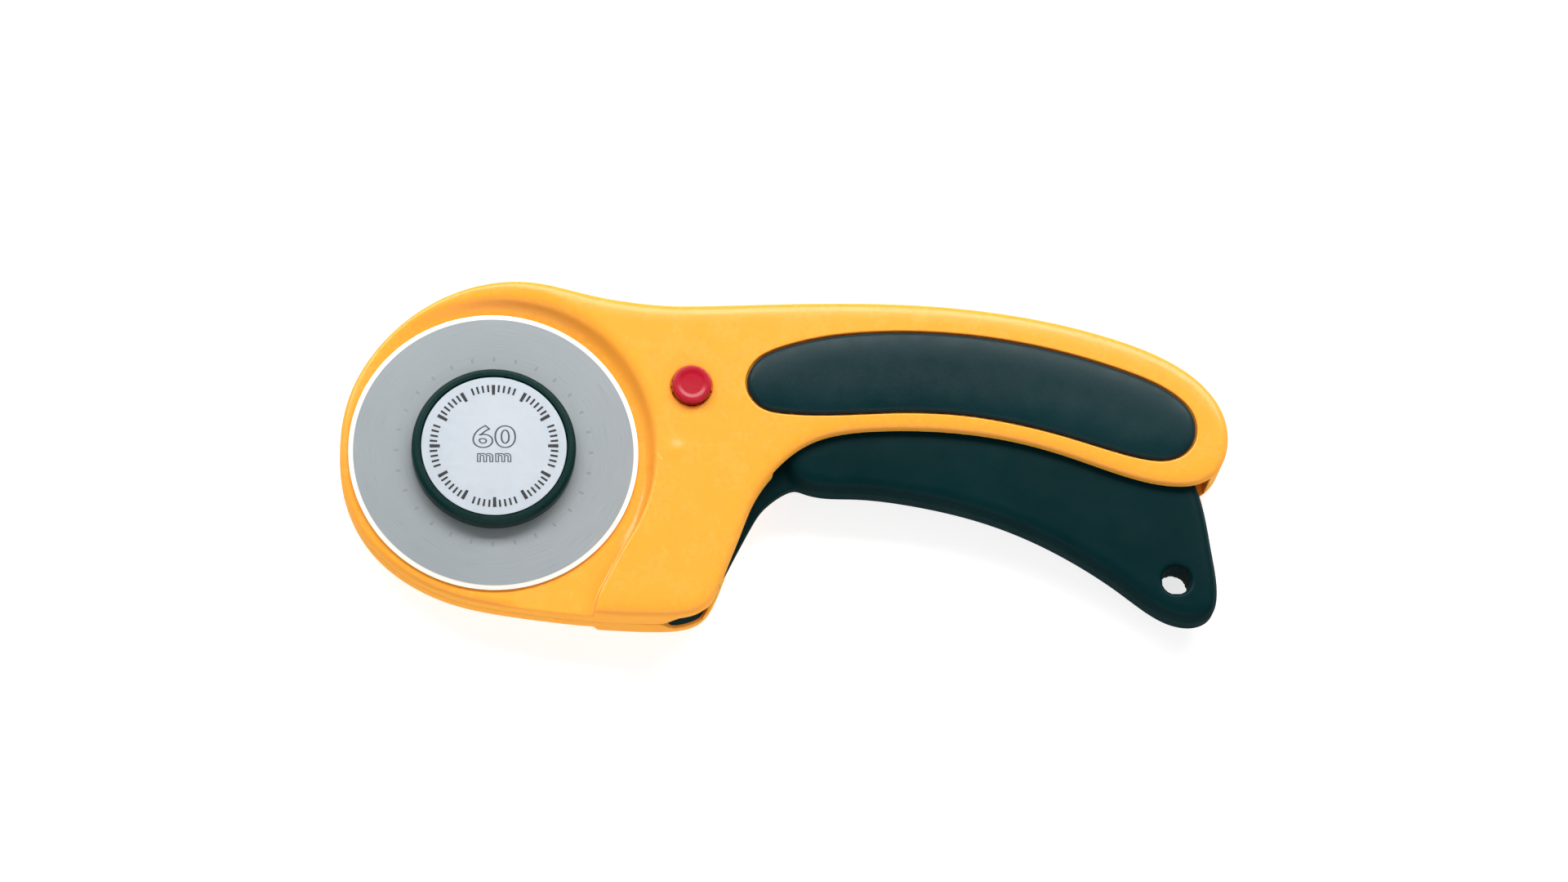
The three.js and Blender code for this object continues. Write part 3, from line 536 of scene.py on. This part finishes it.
def lathe(name, pts, radii, cx, cy, seg=192, arc=5, bend=None):
    """Turned piece about a vertical axis, with exact normals. bend(theta, r, z) may move a point."""
    P, N = rounded_profile(pts, radii, arc)
    th = 2 * math.pi * np.arange(seg) / seg
    m = len(P)
    ax0, ax1 = P[0, 0] < 1e-9, P[-1, 0] < 1e-9
    rows = list(range(1 if ax0 else 0, m - 1 if ax1 else m))
    R = P[rows, 0][:, None] * np.ones(seg)
    Z = P[rows, 1][:, None] * np.ones(seg)
    if bend is not None:
        R, Z = bend(th[None, :], R, Z)
    V = np.stack([R * np.cos(th), R * np.sin(th), Z], 2).reshape(-1, 3)
    NN = np.stack([N[rows, 0][:, None] * np.cos(th), N[rows, 0][:, None] * np.sin(th), N[rows, 1][:, None] * np.ones(seg)], 2).reshape(-1, 3)
    k = len(rows)
    i = np.arange(k - 1)[:, None] * seg
    j = np.arange(seg)[None, :]
    j2 = (j + 1) % seg
    quads = np.stack([i + j, i + j2, i + seg + j2, i + seg + j], 2).reshape(-1, 4)
    faces = [list(map(int, f)) for f in quads]
    V, NN = list(V), list(NN)
    if ax0:
        V.append(np.array([0, 0, P[0, 1]])); NN.append(np.array([0, 0, -1.0])); c = len(V) - 1
        faces += [[c, int((s + 1) % seg), int(s)] for s in range(seg)]
    if ax1:
        V.append(np.array([0, 0, P[-1, 1]])); NN.append(np.array([0, 0, 1.0])); c = len(V) - 1
        o = (k - 1) * seg
        faces += [[c, int(o + s), int(o + (s + 1) % seg)] for s in range(seg)]
    if not ax0 and not ax1 and np.allclose(P[0], P[-1]):
        o = (k - 1) * seg          # closed ring: the last row is the first
        faces = [[v - o if v >= o else v for v in f] for f in faces]
        V, NN = V[:o], NN[:o]
    V = np.array(V) + np.array([cx, cy, 0])
    me = bpy.data.meshes.new(name)
    me.from_pydata([tuple(v) for v in to_row(V)], [], faces)
    me.validate()
    ob = bpy.data.objects.new(name, me)
    scene.collection.objects.link(ob)
    if bend is None:
        smooth(ob, np.array(NN))
    else:
        smooth(ob)
    return ob


blade = lathe("blade_disc", [(4.0, 11.45), (4.0, 11.3), (29.05, 11.3), (30.0, 11.43), (30.0, 11.47), (29.05, 11.6), (4.0, 11.6), (4.0, 11.45)],
              [0, .03, .02, .005, .005, .02, .03, 0], 0, 0, 360, 2)
pieces["blade_disc"] = blade
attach(blade, "blade"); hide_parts("blade")

nut = lathe("hub_nut_body",
            [(5.1, 13.0), (5.1, 12.45), (7.2, 12.45), (7.2, 11.9), (16.75, 11.9), (17.0, 12.3), (17.0, 14.75), (16.3, 15.4), (15.35, 15.4), (15.25, 14.75), (5.1, 14.75), (5.1, 13.0)],
            [0, .1, .1, .15, .25, .2, .7, .45, .12, .1, .1, 0], 0, 0, 360, 6)
pieces["hub_nut_body"] = nut
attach(nut, "nut"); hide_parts("hub_nut")

label = lathe("label_disc", [(0, 14.95), (15.0, 14.95), (15.0, 15.18), (0, 15.2)], [0, .03, .06, 0], 0, 0, 256, 3)
pieces["label_disc"] = label
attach(label, "nut"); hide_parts("nut_label")

insert = lathe("nut_insert_ring", [(3.2, 13.5), (3.2, 12.45), (4.8, 12.45), (4.8, 14.6), (3.2, 14.6), (3.2, 13.5)], [0, .1, .1, .1, .1, 0], 0, 0, 96, 3)
pieces["nut_insert_ring"] = insert
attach(insert, "nut"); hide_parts("nut_insert")

button = lathe("lock_button_body",
               [(0, 2.9), (2.0, 2.9), (2.0, 9.9), (3.7, 9.9), (4.07, 10.3), (4.07, 11.0), (3.7, 11.3), (3.7, 11.5), (4.07, 11.8), (4.07, 12.8), (3.7, 13.1), (3.7, 13.3), (4.07, 13.6),
                (4.07, 16.3), (3.05, 16.3), (2.3, 16.14), (0, 16.08)],
               [0, .1, .1, .1, .1, .1, .1, .1, .1, .1, .1, .1, .1, .55, .5, .8, 0], *LOCK, 128, 6)
pieces["lock_button_body"] = button
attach(button, "lock"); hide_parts("lock_button")

cap = lathe("lock_rear_disc", [(0, 2.25), (3.6, 2.25), (4.0, 2.65), (4.0, 5.1), (2.35, 5.1), (2.35, 2.6), (0, 2.6)], [0, .3, .3, .1, .1, .1, 0], *LOCK, 96, 4)
pieces["lock_rear_disc"] = cap
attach(cap, "lock"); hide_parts("lock_rear_cap")



# ------------------------------------------------------------------- materials
def lin(r, g, b):
    def f(v):
        v /= 255
        return v / 12.92 if v <= 0.04045 else ((v + 0.055) / 1.055) ** 2.4
    return (f(r), f(g), f(b), 1)


class Mat:
    def __init__(self, name, rough=0.4, metal=0.0, **sockets):
        self.m = bpy.data.materials.new(name)
        self.m.use_nodes = True
        self.t = self.m.node_tree
        self.b = next(n for n in self.t.nodes if n.type == "BSDF_PRINCIPLED")
        self.b.inputs["Roughness"].default_value = rough
        self.b.inputs["Metallic"].default_value = metal
        for k, v in sockets.items():
            self.b.inputs[k.replace("_", " ")].default_value = v
        self.coord = self.t.nodes.new("ShaderNodeTexCoord")

    def node(self, kind, **props):
        n = self.t.nodes.new("ShaderNode" + kind)
        for k, v in props.items():
            setattr(n, k, v)
        return n

    def link(self, a, b):
        self.t.links.new(a, b)

    def noise(self, scale, detail=3, rough=0.5, dist=0.0):
        n = self.node("TexNoise")
        n.inputs["Scale"].default_value = scale
        n.inputs["Detail"].default_value = detail
        n.inputs["Roughness"].default_value = rough
        n.inputs["Distortion"].default_value = dist
        self.link(self.coord.outputs["Object"], n.inputs["Vector"])
        return n.outputs["Fac"]

    def remap(self, v, a, b, c, d):
        n = self.node("MapRange")
        n.inputs["From Min"].default_value = a
        n.inputs["From Max"].default_value = b
        n.inputs["To Min"].default_value = c
        n.inputs["To Max"].default_value = d
        self.link(v, n.inputs["Value"])
        return n.outputs["Result"]

    def math(self, op, a, b=None):
        n = self.node("Math", operation=op)
        for s, v in zip(n.inputs, (a, b)):
            if v is None:
                continue
            if isinstance(v, (int, float)):
                s.default_value = v
            else:
                self.link(v, s)
        return n.outputs[0]

    def mix(self, fac, a, b, blend="MIX"):
        n = self.node("Mix", data_type="RGBA", blend_type=blend)
        for s, v in ((n.inputs["Factor"], fac), (n.inputs[6], a), (n.inputs[7], b)):
            if isinstance(v, (int, float, tuple)):
                s.default_value = v
            else:
                self.link(v, s)
        return n.outputs[2]

    def bump(self, height, dist, strength=1.0, prev=None):
        n = self.node("Bump")
        n.inputs["Strength"].default_value = strength
        n.inputs["Distance"].default_value = dist
        self.link(height, n.inputs["Height"])
        if prev is not None:
            self.link(prev, n.inputs["Normal"])
        return n.outputs["Normal"]

    def set(self, **kw):
        for k, v in kw.items():
            self.link(v, self.b.inputs[k.replace("_", " ")])


def moulded(name, col, dark, rough, grain=5200, depth=4e-6, coat=0.0, var=0.06, edge=None, spec=0.5, sss=None, side=0.0):
    """Injection-moulded plastic: fine spark texture, flow marks and slight wear."""
    m = Mat(name, rough)
    if sss:
        m.b.inputs["Subsurface Weight"].default_value = sss[0]
        m.b.inputs["Subsurface Radius"].default_value = sss[1]
        m.b.inputs["Subsurface Scale"].default_value = sss[2]
    m.b.inputs["Specular IOR Level"].default_value = spec
    if coat:
        m.b.inputs["Coat Weight"].default_value = coat
        m.b.inputs["Coat Roughness"].default_value = 0.11
    flow = m.noise(38, 4, 0.55, 0.6)
    fine = m.noise(900, 2, 0.5)
    c = m.mix(m.remap(flow, 0.3, 0.7, 0.0, 1.0), dark, col)
    c2 = m.mix(m.remap(fine, 0.35, 0.65, 0.0, var), c, tuple(x * 0.8 for x in dark[:3]) + (1,))
    if edge is not None:
        rub = m.math("MULTIPLY", m.remap(m.noise(70, 5, 0.7, 0.8), 0.60, 0.78, 0.0, 1.0), m.remap(m.noise(650, 3), 0.45, 0.6, 0.0, 0.22))
        c2 = m.mix(rub, c2, edge)
    m.set(Base_Color=c2)
    scr = m.noise(160, 5, 0.65, 0.3)
    ro = m.remap(m.math("ADD", scr, m.math("MULTIPLY", fine, 0.4)), 0.5, 0.9, rough - 0.05, rough + 0.08)
    if side:          # the drafted side walls come out of the mould duller than the faces
        nz = m.node("SeparateXYZ")
        m.link(m.coord.outputs["Normal"], nz.inputs[0])
        ro = m.math("ADD", ro, m.remap(m.math("ABSOLUTE", nz.outputs[2]), 0.25, 0.8, side, 0.0))
    m.set(Roughness=ro)
    g = m.noise(grain, 2, 0.6)
    n1 = m.bump(g, depth, 0.55)
    n2 = m.bump(m.noise(55, 2, 0.4), 6e-5, 0.12, n1)
    m.set(Normal=n2)
    return m.m


YELLOW = moulded("moulded_yellow", (0.975, 0.390, 0.040, 1), (0.972, 0.383, 0.038, 1), 0.24, 5200, 2e-6, var=0.02, edge=(0.98, 0.44, 0.055, 1), spec=0.34, sss=(0.35, (1.0, 0.35, 0.08), 0.0025), side=0.68)
LEVER = moulded("moulded_dark_green", lin(3, 36, 39), lin(1, 30, 32), 0.34, 6200, 4e-6, var=0.2, edge=lin(18, 46, 48), spec=0.06, side=0.5)
HUB = moulded("moulded_hub_green", lin(6, 43, 41), lin(3, 36, 34), 0.3, 6200, 3e-6, var=0.2, edge=lin(34, 66, 62), spec=0.14)
RED = moulded("moulded_red", lin(178, 14, 40), lin(168, 10, 34), 0.27, 5000, 2e-6, coat=0.1, var=0.04, edge=lin(200, 40, 60), spec=0.3)


def rubber():
    m = Mat("grip_rubber_matte", 0.38)
    m.b.inputs["Specular IOR Level"].default_value = 0.16
    m.b.inputs["Sheen Weight"].default_value = 0.02
    m.b.inputs["Sheen Roughness"].default_value = 0.5
    m.b.inputs["Sheen Tint"].default_value = lin(150, 180, 190)
    big = m.noise(30, 4, 0.6, 0.5)
    fine = m.noise(1500, 3, 0.6)
    c = m.mix(m.remap(big, 0.35, 0.65, 0, 1), lin(1, 34, 38), lin(3, 39, 43))
    c = m.mix(m.remap(fine, 0.4, 0.7, 0, 0.5), c, lin(9, 45, 49))
    m.set(Base_Color=c)
    m.set(Roughness=m.remap(m.noise(240, 4, 0.6), 0.35, 0.65, 0.33, 0.43))
    n1 = m.bump(m.noise(3400, 3, 0.65), 1.4e-5, 0.6)
    m.set(Normal=n1)
    return m.m


def blade_steel(name, face):
    """Ground tool steel: concentric grinding lines, a faint cloudy tone and a near-white bevel ring painted as a
    highlight.
    """
    m = Mat(name, 0.3, 0.3)
    sep = m.node("SeparateXYZ")
    m.link(m.coord.outputs["Object"], sep.inputs[0])
    x = m.math("SUBTRACT", sep.outputs[0], -OX / 1000)
    y = m.math("SUBTRACT", sep.outputs[1], -OY / 1000)
    r = m.math("SQRT", m.math("ADD", m.math("MULTIPLY", x, x), m.math("MULTIPLY", y, y)))
    a = m.math("ARCTAN2", y, x)
    comb = m.node("CombineXYZ")
    m.link(m.math("MULTIPLY", r, 9000.0), comb.inputs[0])
    m.link(m.math("MULTIPLY", a, 3.0), comb.inputs[1])
    lines = m.node("TexNoise")
    lines.inputs["Scale"].default_value = 1.0
    lines.inputs["Detail"].default_value = 4
    lines.inputs["Roughness"].default_value = 0.6
    m.link(comb.outputs[0], lines.inputs["Vector"])
    ln = lines.outputs["Fac"]
    cloud = m.noise(28, 4, 0.55, 0.4)
    # painted highlight: from r 28.98 mm outwards the steel's grey is mixed to near-white, standing for the light the
    # ground bevel catches; the bevel's shape itself is in the disc profile
    edge = m.remap(r, 0.02898, 0.02916, 0.0, 1.0)
    if face:
        base = m.mix(m.remap(ln, 0.3, 0.7, 0.0, 1.0), lin(148, 155, 158), lin(160, 165, 169))
        base = m.mix(m.remap(cloud, 0.3, 0.7, 0.0, 0.5), base, lin(142, 149, 152))
        m.set(Base_Color=m.mix(edge, base, lin(236, 233, 222)))
        rough = m.remap(ln, 0.2, 0.8, 0.25, 0.37)
        rr = m.node("Mix", data_type="FLOAT")
        m.link(edge, rr.inputs[0]); m.link(rough, rr.inputs[2]); rr.inputs[3].default_value = 0.5
        m.set(Roughness=rr.outputs[0])
    m.set(Normal=m.bump(ln, 2e-6, 0.25))
    return m.m


def metal(name, a, b, rough, scale=1200, depth=4e-6):
    m = Mat(name, rough, 1.0)
    c = m.mix(m.remap(m.noise(260, 4, 0.6), 0.35, 0.65, 0, 1), a, b)
    m.set(Base_Color=c)
    m.set(Roughness=m.remap(m.noise(700, 4, 0.6), 0.3, 0.7, rough - 0.06, rough + 0.1))
    m.set(Normal=m.bump(m.noise(scale, 3, 0.6), depth, 0.5))
    return m.m


def foil():
    m = Mat("label_foil", 0.42, 0.2)
    c = m.mix(m.remap(m.noise(45, 4, 0.55, 0.3), 0.35, 0.65, 0, 1), lin(180, 188, 196), lin(188, 194, 201))
    c = m.mix(m.remap(m.noise(2600, 3, 0.6), 0.4, 0.7, 0, 0.35), c, lin(175, 184, 195))
    m.set(Base_Color=c)
    m.set(Roughness=m.remap(m.noise(900, 3, 0.5), 0.3, 0.7, 0.29, 0.4))
    m.set(Normal=m.bump(m.noise(2200, 3, 0.6), 5e-6, 0.4))
    return m.m


def ink(name, c0, c1):
    m = Mat(name, 0.45)
    m.set(Base_Color=m.mix(m.remap(m.noise(2500, 3, 0.6), 0.4, 0.7, 0, 1), c0, c1))
    m.set(Roughness=m.remap(m.noise(1500, 2), 0.3, 0.7, 0.38, 0.55))
    return m.m


RUBBER = rubber()
BLADE = blade_steel("blade_ground_steel", True)
STEEL = metal("zinc_steel", lin(176, 180, 184), lin(160, 166, 172), 0.32)
SPRING = metal("spring_wire", lin(150, 152, 155), lin(128, 131, 136), 0.3)
BRASS = metal("turned_brass", lin(204, 168, 92), lin(186, 148, 76), 0.3)
FOIL = foil()
INK = ink("label_ink", lin(14, 15, 20), lin(26, 27, 33))
INK2 = ink("label_ink_grey", lin(56, 62, 70), lin(82, 88, 96))
ETCH = ink("blade_etch", lin(126, 132, 138), lin(142, 148, 152))


def paint(ob, mat):
    ob.data.materials.clear()
    ob.data.materials.append(mat)


for n, m, s in (("front_shell_skin", YELLOW, "yellow_shell"), ("back_shell_skin", YELLOW, "yellow_shell"), ("lever_skin", LEVER, "lever_plastic"),
                ("front_inlay_skin", RUBBER, "grip_rubber"), ("back_inlay_skin", RUBBER, "grip_rubber"), ("blade_disc", BLADE, "blade_steel"),
                ("hub_nut_body", HUB, "hub_plastic"), ("label_disc", FOIL, "label_silver"), ("nut_insert_ring", BRASS, "brass_parts"),
                ("lock_button_body", RED, "lock_red"), ("lock_rear_disc", HUB, "hub_plastic")):
    paint(pieces[n], m)
for n, m in (("pivot_pin", STEEL), ("return_spring", SPRING), ("axle_bolt", STEEL), ("back_washer", STEEL), ("axle_collar", BRASS), ("spring_washer", SPRING),
             ("lock_detent_ball", STEEL), ("lock_detent_spring", SPRING)) + tuple(("shell_screw_%d" % i, STEEL) for i in range(1, 6)):
    paint(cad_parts[n], m)


# ---------------------------------------------------------------- printed marks
def ring_marks(name, marks, z0, z1, mat, body):
    """Small curved bars printed on a ring: (angle deg, half width mm, r in, r out) each."""
    V, Fc = [], []
    for ang, hw, r0, r1 in marks:
        o = len(V)
        a = math.radians(ang)
        steps = 6
        for z in (z0, z1):
            for r in (r0, r1):
                for s in range(steps + 1):
                    t = a + (s / steps * 2 - 1) * hw / ((r0 + r1) / 2)
                    V.append((r * math.cos(t), r * math.sin(t), z))
        n = steps + 1
        for s in range(steps):
            Fc.append((o + 2 * n + s, o + 3 * n + s, o + 3 * n + s + 1, o + 2 * n + s + 1)[::-1])
            Fc.append((o + s, o + n + s, o + n + s + 1, o + s + 1))
            Fc.append((o + s, o + s + 1, o + 2 * n + s + 1, o + 2 * n + s)[::-1])
            Fc.append((o + n + s, o + 3 * n + s, o + 3 * n + s + 1, o + n + s + 1)[::-1])
        Fc.append((o, o + n, o + 3 * n, o + 2 * n)[::-1])
        e = steps
        Fc.append((o + e, o + 2 * n + e, o + 3 * n + e, o + n + e)[::-1])
    me = bpy.data.meshes.new(name)
    me.from_pydata([tuple(v) for v in to_row(np.array(V))], [], Fc)
    me.validate()
    bm = bmesh.new(); bm.from_mesh(me)
    bmesh.ops.recalc_face_normals(bm, faces=bm.faces)
    bm.to_mesh(me); bm.free()
    ob = bpy.data.objects.new(name, me)
    scene.collection.objects.link(ob)
    paint(ob, mat)
    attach(ob, body)
    return ob


marks = []
for k in range(72):
    if k % 18 in (5, 13):
        continue
    long = k % 6 == 0
    marks.append((k * 5.0, 0.34 if long else 0.21, 11.15 if long else 11.75, 13.3))
ring_marks("label_ring_marks", marks, 15.19, 15.225, INK, "nut")

etch = []
rng = np.random.RandomState(4)
for k in range(28):
    a = 12 + k * 360 / 28
    etch.append((a, 0.28, 19.7, 20.7))
ring_marks("blade_etch_marks", etch, 11.598, 11.606, ETCH, "blade")


def glyphs(name, text, size, cx, cy, z, width, stretch, bold):
    """Outline numerals as a thin printed line."""
    cu = bpy.data.curves.new(name, "FONT")
    cu.body = text
    cu.size = size / 1000
    cu.align_x = "CENTER"
    cu.align_y = "CENTER"
    cu.fill_mode = "NONE"
    cu.bevel_depth = width / 2000
    cu.bevel_resolution = 1
    cu.resolution_u = 8
    cu.space_character = 1.12
    cu.offset = bold / 1000
    ob = bpy.data.objects.new(name, cu)
    scene.collection.objects.link(ob)
    dg = bpy.context.evaluated_depsgraph_get()
    me = bpy.data.meshes.new_from_object(ob.evaluated_get(dg))
    bpy.data.objects.remove(ob)
    co = np.empty(len(me.vertices) * 3, np.float32)
    me.vertices.foreach_get("co", co)
    co = co.reshape(-1, 3)
    co[:, 0] = co[:, 0] * stretch + (cx - OX) / 1000
    co[:, 1] += (cy - OY) / 1000
    co[:, 2] = z / 1000 + co[:, 2] * 0.15
    me.vertices.foreach_set("co", co.ravel())
    me.update()
    ob = bpy.data.objects.new(name, me)
    scene.collection.objects.link(ob)
    paint(ob, INK2)
    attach(ob, "nut")
    return ob


glyphs("label_size_number", "60", 6.2, 0.0, 1.75, 15.21, 0.26, 1.34, 0.18)
glyphs("label_size_unit", "mm", 3.6, 0.0, -2.3, 15.21, 0.2, 1.25, 0.06)

# ------------------------------------------------------------ floor and lighting
me = bpy.data.meshes.new("floor")
s = 6.0
me.from_pydata([(-s, -s, -0.0002), (s, -s, -0.0002), (s, s, -0.0002), (-s, s, -0.0002)], [], [(0, 1, 2, 3)])
floor = bpy.data.objects.new("floor", me)
scene.collection.objects.link(floor)
fm = Mat("pale_floor", 0.7)
fm.b.inputs["Specular IOR Level"].default_value = 0.2
fm.set(Base_Color=fm.mix(fm.remap(fm.noise(6, 3), 0.3, 0.7, 0, 1), (0.42, 0.42, 0.42, 1), (0.44, 0.44, 0.44, 1)))
fm.b.inputs["Emission Color"].default_value = (1, 1, 1, 1)
fm.b.inputs["Emission Strength"].default_value = 0.74
floor.data.materials.append(fm.m)

world = bpy.data.worlds.new("studio")
scene.world = world
world.use_nodes = True
wt = world.node_tree
bg = next(n for n in wt.nodes if n.type == "BACKGROUND")
tc = wt.nodes.new("ShaderNodeTexCoord")
sp = wt.nodes.new("ShaderNodeSeparateXYZ")
wt.links.new(tc.outputs["Generated"], sp.inputs[0])
ramp = wt.nodes.new("ShaderNodeValToRGB")
ramp.color_ramp.elements[0].position = 0.0
ramp.color_ramp.elements[0].color = (0.9, 0.9, 0.92, 1)
ramp.color_ramp.elements[1].position = 0.9
ramp.color_ramp.elements[1].color = (1, 1, 1, 1)
wt.links.new(sp.outputs[2], ramp.inputs[0])
wt.links.new(ramp.outputs[0], bg.inputs["Color"])
bg.inputs["Strength"].default_value = 0.15


def area(name, loc, target, sx, sy, power, color=(1, 1, 1)):
    L = bpy.data.lights.new(name, "AREA")
    L.shape = "RECTANGLE"
    L.size, L.size_y = sx, sy
    L.energy = power
    L.color = color
    ob = bpy.data.objects.new(name, L)
    scene.collection.objects.link(ob)
    ob.location = loc
    d = Vector(target) - Vector(loc)
    ob.rotation_euler = d.to_track_quat("-Z", "Y").to_euler()
    return ob


area("softbox_top", (0.0, 0.836, 0.929), (0, 0, 0), 2.2, 0.5, 29.0)
area("softbox_left", (-1.5, 0.5, 1.2), (0, 0, 0), 1.8, 1.8, 3.5)
area("softbox_right", (1.5, 0.3, 1.2), (0, 0, 0), 1.8, 1.8, 3.5)
area("softbox_front", (0.0, -1.3, 1.1), (0, 0, 0), 2.6, 1.6, 17.0)

# ------------------------------------------------------------------------ camera
cam_data = bpy.data.cameras.new("photo_view")
cam = bpy.data.objects.new("photo_view", cam_data)
scene.collection.objects.link(cam)
a, b = 0.0810, 0.3271
Rx = np.array([[1, 0, 0], [0, math.cos(b), math.sin(b)], [0, -math.sin(b), math.cos(b)]])
Ry = np.array([[math.cos(a), 0, math.sin(a)], [0, 1, 0], [-math.sin(a), 0, math.cos(a)]])
R = Ry @ Rx
D, HX, HY, HZ = 1218.2, -60.1503, -2.2011, 11.45
pos = R.T @ (np.array([0, 0, D]) - np.array([HX, HY, 0])) + np.array([0, 0, HZ])
pos = to_row(pos[None])[0]
M = Matrix(((R[0][0], R[1][0], R[2][0], pos[0]), (R[0][1], R[1][1], R[2][1], pos[1]), (R[0][2], R[1][2], R[2][2], pos[2]), (0, 0, 0, 1)))
cam.matrix_world = M
cam_data.sensor_width = 36.0
cam_data.lens = 5.9138 * D * 36.0 / 1920
cam_data.clip_start = 0.05
cam_data.clip_end = 30
cam_data.dof.use_dof = False
scene.camera = cam
scene.view_settings.view_transform = "Standard"
scene.view_settings.look = "None"
